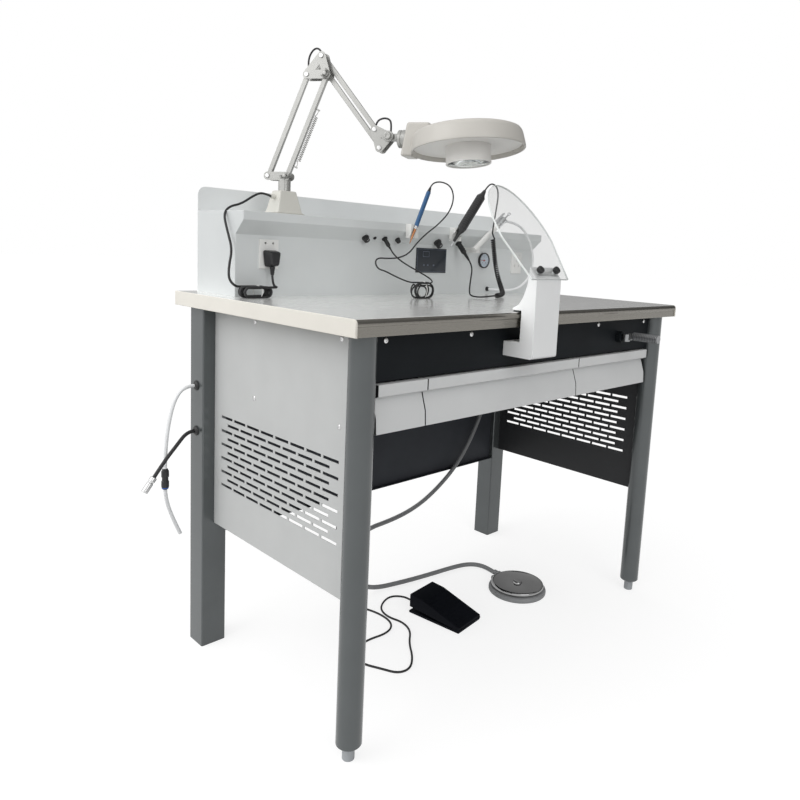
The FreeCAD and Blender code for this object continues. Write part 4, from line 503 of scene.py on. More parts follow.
# Jacks for the tools sit on the same slant: black sockets in turned collars, a capped spare, a
# push button, and the air port low on the front face with its hexagonal nut.
PEN_JACK, TOOL_JACK = -0.107, 0.158
COLLAR = ((7.2, 0), (7.2, 2.2), (6.6, 3), (4.5, 3), (4.3, 2.4), (0.5, 2.4))
BIG_COLLAR = tuple((1.28 * wide, high) for wide, high in COLLAR)
CAP = ((6.8, 0), (6.8, 2.8), (5.8, 3.4), (5.8, 9.2), (5.2, 10), (1, 10))
BUTTON = ((4.5, 0), (4.5, 1.2), (3.6, 1.6), (3.4, 2.8), (2.4, 3), (0.5, 3))
jacks = [turned("jack", outline, soffit_spot(across), SOFFIT_DOWN) for across, outline in (
    (PEN_JACK, COLLAR), (TOOL_JACK, BIG_COLLAR), (-0.065, CAP), (-0.138, BUTTON))]
PORT_SPOT = Vector((0.298, 0.1735, 0.813))
jacks.append(turned("port_nut", ((6.5, 0), (6.5, 3.2), (5, 3.4)), PORT_SPOT, FORWARD, 6))
BARB = ((4.6, 3), (4.6, 4.5), (5.2, 5), (4.4, 6.8), (4.4, 8), (2, 8))
jacks.append(turned("port_barb", BARB, PORT_SPOT, FORWARD))
dress(joined("jack_row", jacks), black_plastic, "console_jacks")

# The pressure gauge is a turned case with a dark rim, a pale blue-grey dial with printed ticks
# and numbers, a needle on a pin and a flat glass.
GAUGE_SPOT = Vector((0.2745, 0.1735, 0.893))
dial_print = finish("dial_print", (0.05, 0.06, 0.08), 0.5)
dial_face = finish("pale_dial_face", (0.62, 0.68, 0.74), 0.45, grain=300, relief=0.02, mottle=0.02)
CUP = ((20.5, 0), (21.2, 1), (21.2, 5.8), (21.5, 6.2), (21.3, 7.6), (20.5, 8), (19.7, 7.8),
       (19.1, 7), (19, 4.1))
case = dress(turned("gauge_cup", CUP, GAUGE_SPOT, FORWARD, 64), black_plastic, "gauge_case")
second_coat(case, dial_face,
            lambda spot, way: way.y < -0.9 and (spot - GAUGE_SPOT).length < 0.006)


def dial_turn(step):
    return math.radians(225 - 27 * step)


ticks = []
for step in range(11):
    inner = 0.0135 if step % 5 else 0.0125
    tick = block("tick", (-0.0003, inner, 0), (0.0003, 0.0166, 0.0002), 0.00005, 1)
    tick.data.transform(Matrix.Rotation(dial_turn(step) - math.pi / 2, 4, "Z"))
    ticks.append(placed(tick, GAUGE_SPOT + FORWARD * 0.0041, FORWARD))
for step in (0, 5, 10):
    bpy.ops.object.select_all(action="DESELECT")
    bpy.ops.object.text_add()
    number = bpy.context.active_object
    number.data.body = str(step)
    number.data.size = 0.0045
    number.data.align_x = "CENTER"
    number.data.align_y = "CENTER"
    number.data.extrude = 0.0001
    bpy.ops.object.convert(target="MESH")
    number.rotation_euler = (math.radians(90), 0, 0)
    turn, reach = dial_turn(step), 0.0098
    number.location = GAUGE_SPOT + Vector((reach * math.cos(turn), -0.0042, reach * math.sin(turn)))
    bpy.ops.object.transform_apply()
    ticks.append(number)
trim(joined("dial_markings", ticks), dial_print, "gauge_case")
needle_paint = finish("needle_paint", (0.45, 0.03, 0.025), 0.4)
NEEDLE_HUB = ((2.4, 4.3), (2.4, 5.5), (1.8, 5.9), (0.3, 5.9))
hub = turned("needle_hub", NEEDLE_HUB, GAUGE_SPOT, FORWARD, 24, 0.0002)
pointer = block("needle_pointer", (0.2595, 0.1678, 0.8924), (0.2795, 0.1686, 0.8936), 0.0002, 1)
dress(joined("needle_and_hub", [hub, pointer]), needle_paint, "gauge_needle")


def clear(name, tint, rough):
    made = finish(name, tint, rough, mottle=0.01, grain=60, relief=0.004)
    shader = made.node_tree.nodes["Principled BSDF"]
    shader.inputs["Transmission Weight"].default_value = 1.0
    shader.inputs["IOR"].default_value = 1.48
    return made


gauge_glass = clear("gauge_glass", (0.96, 0.98, 1.0), 0.03)
WINDOW = ((18.8, 6.6), (18.8, 7.1), (2, 7.1))
trim(turned("gauge_window", WINDOW, GAUGE_SPOT, FORWARD, 64, 0.0), gauge_glass, "gauge_case")


# The wax pen has a copper heating tip in a steel collar, a blue anodised body and a black tail
# where its cord goes in. It leans in a groove of its holder.
def leaning(degrees):
    return Vector((math.sin(math.radians(degrees)), 0, math.cos(math.radians(degrees))))


def ribbed(rib, count, start, pitch, taper=0.0):
    return [(wide - taper * step, start + pitch * step + along)
            for step in range(count) for wide, along in rib]


copper = finish("heated_copper", (0.42, 0.19, 0.09), 0.34, metal=0.9, mottle=0.35, grain=300,
                relief=0.05)
pen_blue = finish("blue_anodised", (0.035, 0.115, 0.26), 0.3, metal=0.25, grain=500, relief=0.04,
                  mottle=0.08)
chrome = finish("bright_chrome", (0.66, 0.67, 0.68), 0.09, metal=1.0, mottle=0.03, grain=350,
                relief=0.015)
TOOLS_Y, TIP_Z = 0.1235, 0.927
PEN_TIP, PEN_WAY = Vector((-0.061, TOOLS_Y, TIP_Z)), leaning(24)
TIP = ((0.4, 0), (1.1, 5), (2.3, 18), (3, 37), (3.4, 40.5), (1, 41))
trim(turned("pen_tip", TIP, PEN_TIP, PEN_WAY), copper, "wax_pen")
PEN_COLLAR = ((3.8, 39.5), (4.6, 40.5), (4.6, 43.2), (4.2, 43.6), (4.2, 44.8), (5, 45.2), (5, 47.2),
              (3, 47.5))
trim(turned("pen_collar", PEN_COLLAR, PEN_TIP, PEN_WAY), chrome, "wax_pen")
body_line = [(4.6, 46.5), (5.5, 47.8), (5.5, 56)]
body_line += ribbed(((5.5, 0), (5.1, 0.6), (5.1, 1.6), (5.5, 2.2)), count=6, start=57, pitch=4)
body_line += [(5.5, 139), (4.7, 141.2), (2, 141.4)]
dress(turned("pen_body", body_line, PEN_TIP, PEN_WAY, 40, 0.0002), pen_blue, "wax_pen")
tail_line = [(4.7, 141), (4.7, 143)]
tail_line += ribbed(((4.3, 0), (3.7, 0.6), (3.7, 2), (4.1, 2.4)), count=3, start=143.5, pitch=2.8,
                    taper=0.5)
tail_line += [(2.6, 152.5), (1, 152.5)]
trim(turned("pen_tail", tail_line, PEN_TIP, PEN_WAY, 32, 0.0002), black_plastic, "wax_pen")

# The handpiece is a small motor in a black ribbed sleeve, with a steel cutter in its nose and a
# tapered tail for the cord. It leans in its own groove.
HAND_TIP, HAND_WAY = Vector((0.0863, TOOLS_Y, TIP_Z)), leaning(38.7)
CUTTER = ((0.4, 0), (1.2, 1.5), (1.2, 6.5), (0.8, 7.5), (0.8, 18), (0.3, 18))
trim(turned("cutter", CUTTER, HAND_TIP, HAND_WAY, 24, 0.0001), chrome, "handpiece")
NOSE = ((3.2, 17.2), (3.8, 19), (4.4, 30), (5.3, 43), (6.4, 45.5), (9.8, 54), (10.4, 56),
        (10.4, 59), (9.8, 59.5), (4, 60))
sleeve_line = [(10.4, 59.2), (11.5, 61.2)]
sleeve_line += ribbed(((11.9, 0), (11.9, 3.6), (11.1, 4.3), (11.1, 5.7)), count=17, start=63,
                      pitch=6.2)
sleeve_line += [(11.8, 168.8), (11.6, 170.5), (10.4, 172), (4, 172)]
tail_line = [(9.8, 171.5), (9.2, 174.5), (7.2, 178.5)]
tail_line += ribbed(((6.6, 0), (6.6, 1.4), (5.7, 1.8), (5.7, 3)), count=4, start=179.5, pitch=3.5,
                    taper=0.7)
tail_line += [(3.6, 194), (1, 194)]
motor = [turned("motor_nose", NOSE, HAND_TIP, HAND_WAY),
         turned("motor_sleeve", sleeve_line, HAND_TIP, HAND_WAY, 56, 0.0002),
         turned("motor_tail", tail_line, HAND_TIP, HAND_WAY, 40, 0.0002)]
dress(joined("handpiece_motor", motor), black_plastic, "handpiece")

# The air gun stands in its slanted tube: a turned barrel with a thin ball-ended nozzle, a hose
# stub at its side, and a pressed thumb lever on a lug.
GUN_SPOT, GUN_WAY = Vector((0.177, TOOLS_Y, 0.921)), leaning(53.5)
GUN_SIDE = Vector((GUN_WAY.z, 0, -GUN_WAY.x))
STUB_SPOT = GUN_SPOT + GUN_WAY * 0.139
BARREL = (
    (3.8, 21), (4.9, 24.5), (4.9, 114.3), (8.6, 114.3), (9, 116), (9, 122), (8.3, 122.8),
    (8.3, 126.2), (9, 127), (9, 145.5), (7.8, 148), (4.2, 150.5), (3, 153), (2.3, 156),
    (2.2, 168.5), (3.4, 169.8), (4.4, 172.2), (4.5, 173.6), (4.1, 175.7), (2.8, 177.3),
    (0.8, 177.9))
STUB = ((4.2, 4), (4.2, 11.5), (4.5, 12), (4.5, 16.5), (3.8, 18), (2, 18))
lug = block("gun_lug", (-0.003, -0.0025, -0.002), (0.003, 0.0025, 0.0022), 0.0005)
gun_parts = [turned("gun_barrel", BARREL, GUN_SPOT, GUN_WAY),
             turned("gun_stub", STUB, STUB_SPOT, (1, 0, 0), 32),
             placed(lug, GUN_SPOT + GUN_WAY * 0.141 - GUN_SIDE * 0.0098, -GUN_SIDE)]
dress(joined("air_gun_barrel", gun_parts), chrome, "air_gun")
eased("air_gun_lever", chrome, 0.0011, 3, lambda middle, way, length: length > 0.0025)

# The holders are white plastic: two grooved blocks under the console's lip and the slanted tube
# of the air gun on its arm.
holder_plastic = finish("milky_holder_plastic", (0.80, 0.80, 0.78), 0.36, grain=500, relief=0.03,
                        mottle=0.02)
eased("tool_holders", holder_plastic, 0.0009, 2)


# The tool plugs are black mouldings with a gripped body and a ribbed tail that takes the bend
# of the cord.
def plug_line(radius, body, tail, end):
    grip = ((radius, 0), (0.92 * radius, 0.6), (0.92 * radius, 1.8), (radius, 2.4))
    rings, wide = 5, 1.12 * tail
    pitch = (end - body - 6) / rings
    rib = ((wide, 0), (wide, 0.5 * pitch), (wide - 0.7, 0.58 * pitch), (wide - 0.7, 0.9 * pitch))
    return [(0.9 * radius, 3), (radius, 4.2), *ribbed(grip, 4, 5, (body - 4) / 4),
            (radius, body + 2.5), (1.2 * tail, body + 5),
            *ribbed(rib, rings, body + 5.5, pitch, 0.07 * tail),
            (0.74 * tail, end + 3), (0.3 * tail, end + 3)]


plugs = [turned(name, plug_line(*sizes), soffit_spot(across), SOFFIT_DOWN, 40, 0.0002)
         for name, across, sizes in (("pen_plug", PEN_JACK, (5, 20, 2.8, 34)),
                                     ("tool_plug", TOOL_JACK, (7, 30, 4.2, 56)))]
dress(joined("tool_plug_mouldings", plugs), black_plastic, "tool_plugs")

# The lamp's mains plug is a black moulding, narrower at its outer face, with a ribbed tail
# pointing down to the cord.
PLUG_X, PLUG_Y, PLUG_Z = -0.425, 0.1565, 0.880
bpy.ops.object.select_all(action="DESELECT")
bpy.ops.mesh.primitive_cube_add(size=1, location=(PLUG_X, PLUG_Y, PLUG_Z))
shell = bpy.context.active_object
shell.scale = (0.036, 0.026, 0.036)
bpy.ops.object.transform_apply()
for corner in shell.data.vertices:
    if corner.co.y < 0.15:
        corner.co.x = PLUG_X + 0.76 * (corner.co.x - PLUG_X)
        corner.co.z = PLUG_Z + 0.8 * (corner.co.z - PLUG_Z)
    if corner.co.z < 0.875:
        corner.co.x = PLUG_X + 0.72 * (corner.co.x - PLUG_X)
open_all()
bpy.ops.mesh.bevel(offset=0.005, segments=5, affect="EDGES")
bpy.ops.object.mode_set(mode="OBJECT")
smooth(shell, 50)
tail_line = [(5.8, 0), (5.6, 3)]
tail_line += ribbed(((5.4, 0), (5.4, 1.8), (4.5, 2.2), (4.5, 3)), count=4, start=3.6, pitch=3.4,
                    taper=0.4)
tail_line += [(3.4, 18), (2, 18)]
relief = turned("plug_tail", tail_line, (PLUG_X, PLUG_Y, 0.8632), -UP, 40, 0.0002)
lamp_plug = dress(joined("lamp_plug_moulding", [shell, relief]), black_plastic, "lamp_plug")

# The task lamp's base is an ivory casting screwed to the console's top, with a steel swivel pin
# and a gland for the mains cord.
LAMP_SPOT = Vector((-0.345, 0.2385, 0))
LAMP_OUT = Vector((0.5, -math.sqrt(0.75), 0))
LAMP_SIDE = Vector((math.sqrt(0.75), 0.5, 0))
ivory = finish("ivory_lamp_paint", (0.66, 0.65, 0.60), 0.34, relief=0.05, mottle=0.02)
eased("lamp_base", ivory, 0.0032, 3, lambda middle, way, length: length > 0.03)


def lamp_point(out, side, up):
    return LAMP_SPOT + LAMP_OUT * out + LAMP_SIDE * side + Vector((0, 0, up))


# The arm is two pairs of square steel bars between pressed steel plates, painted silver grey, so
# that the head keeps its angle. Bolts make the pivots, and wing knobs lock them.
arm_paint = finish("silver_arm_paint", (0.40, 0.40, 0.385), 0.32, metal=0.55, grain=2200,
                   relief=0.0, mottle=0.04)
for name in ("lower_bar_rear", "lower_bar_front", "upper_bar_top", "upper_bar_bottom"):
    eased("lamp_" + name, arm_paint, 0.0012, 2, lambda middle, way, length: length > 0.05)

REAR_PIVOT, FRONT_PIVOT, PIVOT_Z = -0.036, 0.009, 1.061
LOWER_BAR, LOWER_LEAN = 0.233, math.radians(67.5)
UPPER_BAR, UPPER_FALL = 0.198, math.radians(50.5)
TOP_BACK, TOP_RISE = 0.012, 0.038
PLATE_FACE = 0.012
ELBOW_OUT = FRONT_PIVOT + LOWER_BAR * math.cos(LOWER_LEAN)
ELBOW_Z = PIVOT_Z + LOWER_BAR * math.sin(LOWER_LEAN)
ELBOW_REAR = ELBOW_OUT - 0.045
ELBOW_TOP = (ELBOW_OUT - TOP_BACK, ELBOW_Z + TOP_RISE)
WRIST_OUT = ELBOW_OUT + UPPER_BAR * math.cos(UPPER_FALL)
WRIST_Z = ELBOW_Z - UPPER_BAR * math.sin(UPPER_FALL)
WRIST_TOP = (WRIST_OUT - TOP_BACK, WRIST_Z + TOP_RISE)
TILT_OUT, TILT_Z = WRIST_OUT + 0.020, WRIST_Z + 0.024

# The yoke, the elbow and the head's bracket are pressed steel plates held by the pivot bolts. The
# plain stubs that stand for their knobs in the CAD are cut off and closed, and two wing knobs and
# a turned tilt knob take their place.
for name in ("lamp_yoke", "lamp_elbow", "lamp_head_bracket"):
    piece = eased(name, arm_paint)
    only(piece)
    bpy.ops.object.mode_set(mode="EDIT")
    bpy.ops.mesh.select_all(action="DESELECT")
    bpy.ops.mesh.select_mode(type="FACE")
    mesh = bmesh.from_edit_mesh(piece.data)
    for face in mesh.faces:
        face.select = (face.calc_center_median() - LAMP_SPOT).dot(LAMP_SIDE) < -0.0125
    bmesh.update_edit_mesh(piece.data)
    bpy.ops.mesh.delete(type="FACE")
    bpy.ops.mesh.select_mode(type="EDGE")
    bpy.ops.mesh.select_non_manifold()
    bpy.ops.mesh.edge_face_add()
    close_up()
    smooth(piece)

STEM = ((5.5, 0), (5.5, 4), (4.2, 5.2), (4.2, 10.5), (2, 11.2))
for name, out, up, node, turn in (("base_wing_knob", FRONT_PIVOT, PIVOT_Z, "lamp_yoke", 20),
                                  ("elbow_wing_knob", ELBOW_OUT, ELBOW_Z, "lamp_elbow", 55)):
    wings = [turned("knob_stem", STEM, (0, 0, 0), UP, 32)]
    for side in (-1, 1):
        wing = block("knob_wing", (-0.0013, -0.0042, 0), (0.0013, 0.0042, 0.0105), 0.0011, 3)
        wing.data.transform(Matrix.Rotation(math.radians(38 * side), 4, "Y"))
        wing.data.transform(Matrix.Translation((0.0034 * side, 0, 0.0025)))
        wings.append(wing)
    piece = joined(name, wings)
    piece.data.transform(Matrix.Rotation(math.radians(turn), 4, "Z"))
    trim(placed(piece, lamp_point(out, -PLATE_FACE, up), -LAMP_SIDE), arm_paint, node)
TILT_KNOB = ((11.2, 0), (11.2, 3.2), (10.4, 4.2), (7.8, 4.2), (7.4, 5.2), (7.4, 10.8), (6.6, 11.8),
             (3.5, 11.8), (3.2, 10.6), (0.5, 10.6))
tilt_knob = turned("tilt_knob", TILT_KNOB, lamp_point(TILT_OUT, -PLATE_FACE, TILT_Z), -LAMP_SIDE)
trim(tilt_knob, arm_paint, "lamp_head_bracket")

BOLT_HEAD = ((4.8, 0), (4.8, 2.2), (4.2, 2.8), (1, 2.8))
NUT = ((5.2, 0), (5.2, 3.2), (3, 3.2), (2.9, 4.4), (0.8, 4.4))
for name, node, both_sides, nut_only in (
        ("lamp_yoke_bolts", "lamp_yoke", [(REAR_PIVOT, PIVOT_Z)], [(FRONT_PIVOT, PIVOT_Z)]),
        ("lamp_elbow_bolts", "lamp_elbow", [(ELBOW_REAR, ELBOW_Z), ELBOW_TOP],
         [(ELBOW_OUT, ELBOW_Z)]),
        ("lamp_wrist_bolts", "lamp_head_bracket", [(WRIST_OUT, WRIST_Z), WRIST_TOP],
         [(TILT_OUT, TILT_Z)])):
    bolts = [turned("pivot_nut", NUT, lamp_point(out, PLATE_FACE, up), LAMP_SIDE, 6)
             for out, up in both_sides + nut_only]
    bolts += [turned("pivot_head", BOLT_HEAD, lamp_point(out, -PLATE_FACE, up), -LAMP_SIDE, 24)
              for out, up in both_sides]
    trim(joined(name, bolts), bright_steel, node)

# The lamp's head is a shallow ivory shell round a magnifying lens in its own tube, closed below by
# a frosted ring. A moulded block carries it on a steel hub and lug between the arm's last plates.
# Its ivory is drawn darker than the base's same paint, as painted shade.
HEAD_SPOT = lamp_point(TILT_OUT + 0.1685, 0, TILT_Z - 0.0075)
HEAD_TILT, HEAD_ROLL = math.radians(6), math.radians(3)
HEAD_WAY = Vector((0, 0, math.cos(HEAD_ROLL))) + LAMP_SIDE * math.sin(HEAD_ROLL)
HEAD_WAY = HEAD_WAY * math.cos(HEAD_TILT) - LAMP_OUT * math.sin(HEAD_TILT)
SHELL = (
    (44, -46.5), (47, -46.5), (47.5, -45), (47, -42.5), (47, 11), (49, 14), (60, 15.7),
    (98.5, 15.7), (106, 14), (108, 11), (115.3, -18), (115.7, -19.5), (118.3, -19.5),
    (118.9, -18.7), (118.8, -15), (117.2, -5.5), (114.2, 9), (112.2, 14.2), (109.8, 17.6),
    (106, 19.3), (100, 19.5), (50, 19.5), (45.5, 19), (44, 18))
shell = turned("head_shell", SHELL, HEAD_SPOT, HEAD_WAY, 112, 0.0, ring=True)
AT_TILT = Matrix.Translation(lamp_point(TILT_OUT, 0, TILT_Z))
AT_TILT = AT_TILT @ Matrix((LAMP_OUT, LAMP_SIDE, (0, 0, 1))).transposed().to_4x4()
MOUNT = ((31, -42), (54.5, -42), (62.5, -2), (92, -2), (92, 27), (43, 27))
MOUNT_HALF = 0.027
bpy.ops.object.select_all(action="DESELECT")
bpy.ops.mesh.primitive_circle_add(vertices=len(MOUNT), radius=0.03, fill_type="NGON")
mount = bpy.context.active_object
for corner, (out, up) in zip(mount.data.vertices, MOUNT):
    corner.co = (out * MM, -MOUNT_HALF, up * MM)
open_all()
bpy.ops.mesh.extrude_region_move(TRANSFORM_OT_translate={"value": (0, 2 * MOUNT_HALF, 0)})
bpy.ops.mesh.select_all(action="SELECT")
bpy.ops.mesh.normals_make_consistent(inside=False)
bpy.ops.mesh.select_all(action="DESELECT")
bpy.ops.mesh.select_mode(type="EDGE")
mesh = bmesh.from_edit_mesh(mount.data)
for edge in mesh.edges:
    middle = (edge.verts[0].co + edge.verts[1].co) / 2
    against_shell = 0.05 < middle.x < 0.07 and middle.z < 0.001
    edge.select = not against_shell and abs(middle.z + 0.002) > 0.0005
bmesh.update_edit_mesh(mount.data)
bpy.ops.mesh.bevel(offset=0.005, segments=5, affect="EDGES", clamp_overlap=False)
bpy.ops.object.mode_set(mode="OBJECT")
mount.data.transform(AT_TILT)
smooth(mount)


def lens_tube(spot, way):
    lift = (spot - HEAD_SPOT).dot(HEAD_WAY)
    return lift < -0.011 and (spot - HEAD_SPOT - HEAD_WAY * lift).length < 0.0485


# The head's ivory is a darker copy of the base's paint: painted shade.
shaded_head_ivory = finish("head_ivory_painted_shade", (0.56, 0.54, 0.50), 0.32, relief=0.04, mottle=0.02)
head = dress(joined("lamp_head_shell", [shell, mount]), shaded_head_ivory, "lamp_head")
frosted_cover = finish("frosted_ring_cover", (0.92, 0.905, 0.875), 0.4, grain=500, relief=0.03,
                       mottle=0.02)
second_coat(head, frosted_cover, lens_tube)
lug = block("tilt_lug", (-0.007, -0.009, -0.0085), (0.024, 0.009, 0.0062), 0.0025, 3)
lug.data.transform(AT_TILT)
HUB = ((16.5, 19), (18.5, 20.5), (18.5, 26), (17.2, 26.8), (17.2, 29.2), (19, 30), (19, 37),
       (4, 38))
hub = turned("head_hub", HUB, lamp_point(TILT_OUT, 0, TILT_Z - 0.004), LAMP_OUT, 56)
trim(joined("head_hub_and_lug", [lug, hub]), arm_paint, "lamp_head")
COVER = ((47.3, -10.5), (112.8, -10.5), (113.3, -9.5), (112.8, -8.5), (47.3, -8.5))
trim(turned("ring_cover", COVER, HEAD_SPOT, HEAD_WAY, 112, 0.0, ring=True), frosted_cover,
     "lamp_head")
clear_lens = clear("lens_glass", (0.95, 0.985, 0.98), 0.02)
LENS_HALF = ((2, 7), (14, 6.4), (26.4, 5), (36, 3.1), (43.8, 1.4))
LENS = [(wide, -high) for wide, high in LENS_HALF] + list(LENS_HALF[::-1])
disc = turned("lens_disc", LENS, HEAD_SPOT - HEAD_WAY * 0.0425, HEAD_WAY, 96, 0.0)
dress(disc, clear_lens, "lamp_lens")

# The suction post is a white moulded column hooked over the worktop's front edge. Two black
# knobs clamp a clear arched shield to its slanted seat, and a dark pad lies under the hook.
post_plastic = finish("white_post_plastic", (0.94, 0.95, 0.95), 0.36, relief=0.05, mottle=0.015)
eased("suction_post", post_plastic, 0.0022, 4, lambda middle, way, length: length > 0.009)
SEAT_LEAN = math.radians(38.5)
SEAT_UP = Vector((0, math.sin(SEAT_LEAN), math.cos(SEAT_LEAN)))
SEAT_OUT = Vector((0, -math.cos(SEAT_LEAN), math.sin(SEAT_LEAN)))
SEAT_FOOT = Vector((-0.090, -0.3125, 0.866))
acrylic = finish("clear_acrylic", (0.50, 0.515, 0.51), 0.05, grain=40, relief=0.0, mottle=0.06)
acrylic.node_tree.nodes["Principled BSDF"].inputs["Alpha"].default_value = 0.2
acrylic_edge = finish("frosted_acrylic_edge", (0.80, 0.83, 0.82), 0.35, grain=600, relief=0.06)
shield = eased("shield", acrylic)
bpy.ops.object.shade_flat()
second_coat(shield, acrylic_edge, lambda spot, way: abs(way.dot(SEAT_OUT)) < 0.8)
CLAMP_COLLAR = ((5.8, 0), (5.8, 2), (3, 2.2))
CLAMP_KNOB = ((6.6, 1.8), (7.5, 2.8), (7.5, 8.4), (6.6, 9.8), (2.2, 10))
fittings = [block("hook_pad", (-0.1285, -0.2725, 0.8), (-0.0515, -0.2575, 0.803), 0.0006)]
for side in (-0.027, 0.027):
    spot = SEAT_FOOT + Vector((side, 0, 0)) + SEAT_UP * 0.018 + SEAT_OUT * 0.004
    fittings += [turned("clamp_collar", CLAMP_COLLAR, spot, SEAT_OUT, 40),
                 turned("clamp_knob", CLAMP_KNOB, spot, SEAT_OUT, 64, 0.0002, 0.06)]
dress(joined("post_clamps", fittings), black_plastic, "post_fittings")

# The wedge pedal is a black moulding: a cover with cross ribs, hinged at its low end to a flat
# plate on the floor.
pedal_black = finish("black_pedal_rubber", (0.006, 0.007, 0.010), 0.55, grain=800, relief=0.2,
                     mottle=0.2, shine=0.06)
eased("pedal_base", pedal_black, 0.0012, 2, lambda middle, way, length: middle.z < 0.003)
eased("pedal_cover", pedal_black, 0.0022, 3,
      lambda middle, way, length: length > 0.012 and middle.z > 0.01)
PEDAL_X, PEDAL_Y, PEDAL_HALF_WIDE, PEDAL_HALF_LONG = -0.007, -0.007, 0.047, 0.0765
PEDAL_LOW, PEDAL_HIGH = 0.014, 0.047
PEDAL_TURN = math.radians(7.5)
PEDAL_SIDE = Vector((math.cos(PEDAL_TURN), math.sin(PEDAL_TURN), 0))
PEDAL_WAY = Vector((-math.sin(PEDAL_TURN), math.cos(PEDAL_TURN), 0))
PEDAL_SPOT = Vector((PEDAL_X, PEDAL_Y, 0))
PEDAL_CORNER = PEDAL_SPOT - PEDAL_SIDE * PEDAL_HALF_WIDE - PEDAL_WAY * PEDAL_HALF_LONG
SLOPE = math.atan2(PEDAL_HIGH - PEDAL_LOW, 1.5 * PEDAL_HALF_LONG)
ribs = []
for step in range(9):
    rib = block("pedal_rib", (0.007, -0.0016, -0.0004), (0.087, 0.0016, 0.0007), 0.0004)
    along = 0.012 + 0.0118 * step
    lie = Matrix.Translation((0, along, PEDAL_LOW + along * math.tan(SLOPE)))
    lie = Matrix.Rotation(PEDAL_TURN, 4, "Z") @ lie @ Matrix.Rotation(SLOPE, 4, "X")
    rib.data.transform(Matrix.Translation(PEDAL_CORNER) @ lie)
    ribs.append(rib)
trim(joined("pedal_ribs", ribs), pedal_black, "pedal_cover")

# The round foot control is a grey moulded base with a boot for its hose, under a pressed chrome
# disc that is dished round a centre screw.
FOOT_SPOT, PORT_TURN = Vector((0.247, -0.0415, 0)), math.radians(12)
PORT_WAY = Vector((math.sin(PORT_TURN), math.cos(PORT_TURN), 0))
base_plastic = finish("grey_base_plastic", (0.29, 0.295, 0.30), 0.45, relief=0.1, mottle=0.06)
BASE = ((74, 0), (76.8, 0.6), (78, 2), (78, 7.8), (76.8, 10.6), (74.2, 12.6), (70, 13), (50, 13),
        (49.4, 12.5), (49.3, 5), (10, 4.6))
boot_line = [(9.2, 72), (10.5, 74.5), (9.8, 82), (7.4, 86)]
boot_line += ribbed(((7.3, 0), (7.3, 2), (6.4, 2.6), (6.4, 3.8)), count=3, start=86.5, pitch=4.2)
boot_line += [(6.6, 99.5), (3, 99.8)]
cheek = block("boot_cheek", (-0.026, 0.052, 0.0004), (0.026, 0.0845, 0.0125), 0.004, 4)
cheek.data.transform(Matrix.Translation(FOOT_SPOT) @ Matrix.Rotation(-PORT_TURN, 4, "Z"))
foot_parts = [turned("foot_ring", BASE, FOOT_SPOT, UP, 96),
              turned("hose_boot", boot_line, FOOT_SPOT + UP * 0.0106, PORT_WAY, 40, 0.0002), cheek]
dress(joined("foot_control_moulding", foot_parts), base_plastic, "foot_control_base")
DISH = (
    (48, 9.5), (49, 10.5), (49, 17.2), (70.4, 17.2), (71, 18), (71, 21.2), (70.2, 22.8),
    (68.5, 24.1), (66, 24.6), (63.5, 24.4), (58, 22.9), (46, 21.7), (30, 21.3), (16, 21.6),
    (12.5, 22.2), (11.8, 24.8), (10.8, 26.2), (8.5, 27), (1, 27))
pressed_steel = finish("pressed_disc_steel", (0.34, 0.34, 0.34), 0.05, metal=1.0, mottle=0.12,
                       grain=350, relief=0.02)
dress(turned("foot_dish", DISH, FOOT_SPOT, UP, 112, 0.0), pressed_steel, "foot_control_disc")

# The knee lever is a steel hub and link on the apron's boss, with a dark ribbed rubber grip
# pushed over the link.
dark_steel = finish("dark_lever_steel", (0.30, 0.305, 0.31), 0.3, metal=0.9, grain=500,
                    relief=0.06, mottle=0.1)
grip_rubber = finish("dark_grip_rubber", (0.085, 0.088, 0.092), 0.5, relief=0.15, mottle=0.2)
eased("knee_lever", dark_steel, 0.0008, 2)
grip_line = [(8.5, 0), (10.1, 1.2)]
grip_line += ribbed(((10.3, 0), (10.3, 2.4), (9.8, 2.9), (9.8, 3.8)), count=14, start=4, pitch=4.2)
grip_line += [(10.3, 63.5), (10.1, 65.2), (9, 65.9), (2, 65.9)]
grip = turned("knee_grip", grip_line, (0.329, -0.2785, 0.728), FORWARD, 48, 0.0002)
trim(grip, grip_rubber, "knee_lever")


# Cords and hoses follow smooth lines through the same points as the solids they stand for.
# Points over the worktop and the floor are in millimetres, counted back from the front edge.
# Each is a round tube in black rubber, grey or white hose.
def smooth_line(name, points, steps):
    line = bpy.data.curves.new(name, "CURVE")
    line.dimensions = "3D"
    line.resolution_u = steps
    spline = line.splines.new("NURBS")
    spline.points.add(len(points) - 1)
    for knot, spot in zip(spline.points, points):
        knot.co = (*spot, 1)
    spline.order_u = 3
    spline.use_endpoint_u = True
    piece = bpy.data.objects.new(name, line)
    bpy.context.scene.collection.objects.link(piece)
    return piece


def cord_line(name, points, diameter):
    piece = smooth_line(name, points, 6)
    piece.data.bevel_depth = diameter / 2
    piece.data.bevel_resolution = 4
    piece.data.use_fill_caps = True
    return piece


FRONT_EDGE, WORKTOP = -0.2765, 0.8


def ground(*spots, rise=0.0):
    return [Vector((across * MM, depth * MM + FRONT_EDGE, height * MM + rise))
            for across, depth, height in spots]


def bench(*spots):
    return ground(*spots, rise=WORKTOP)


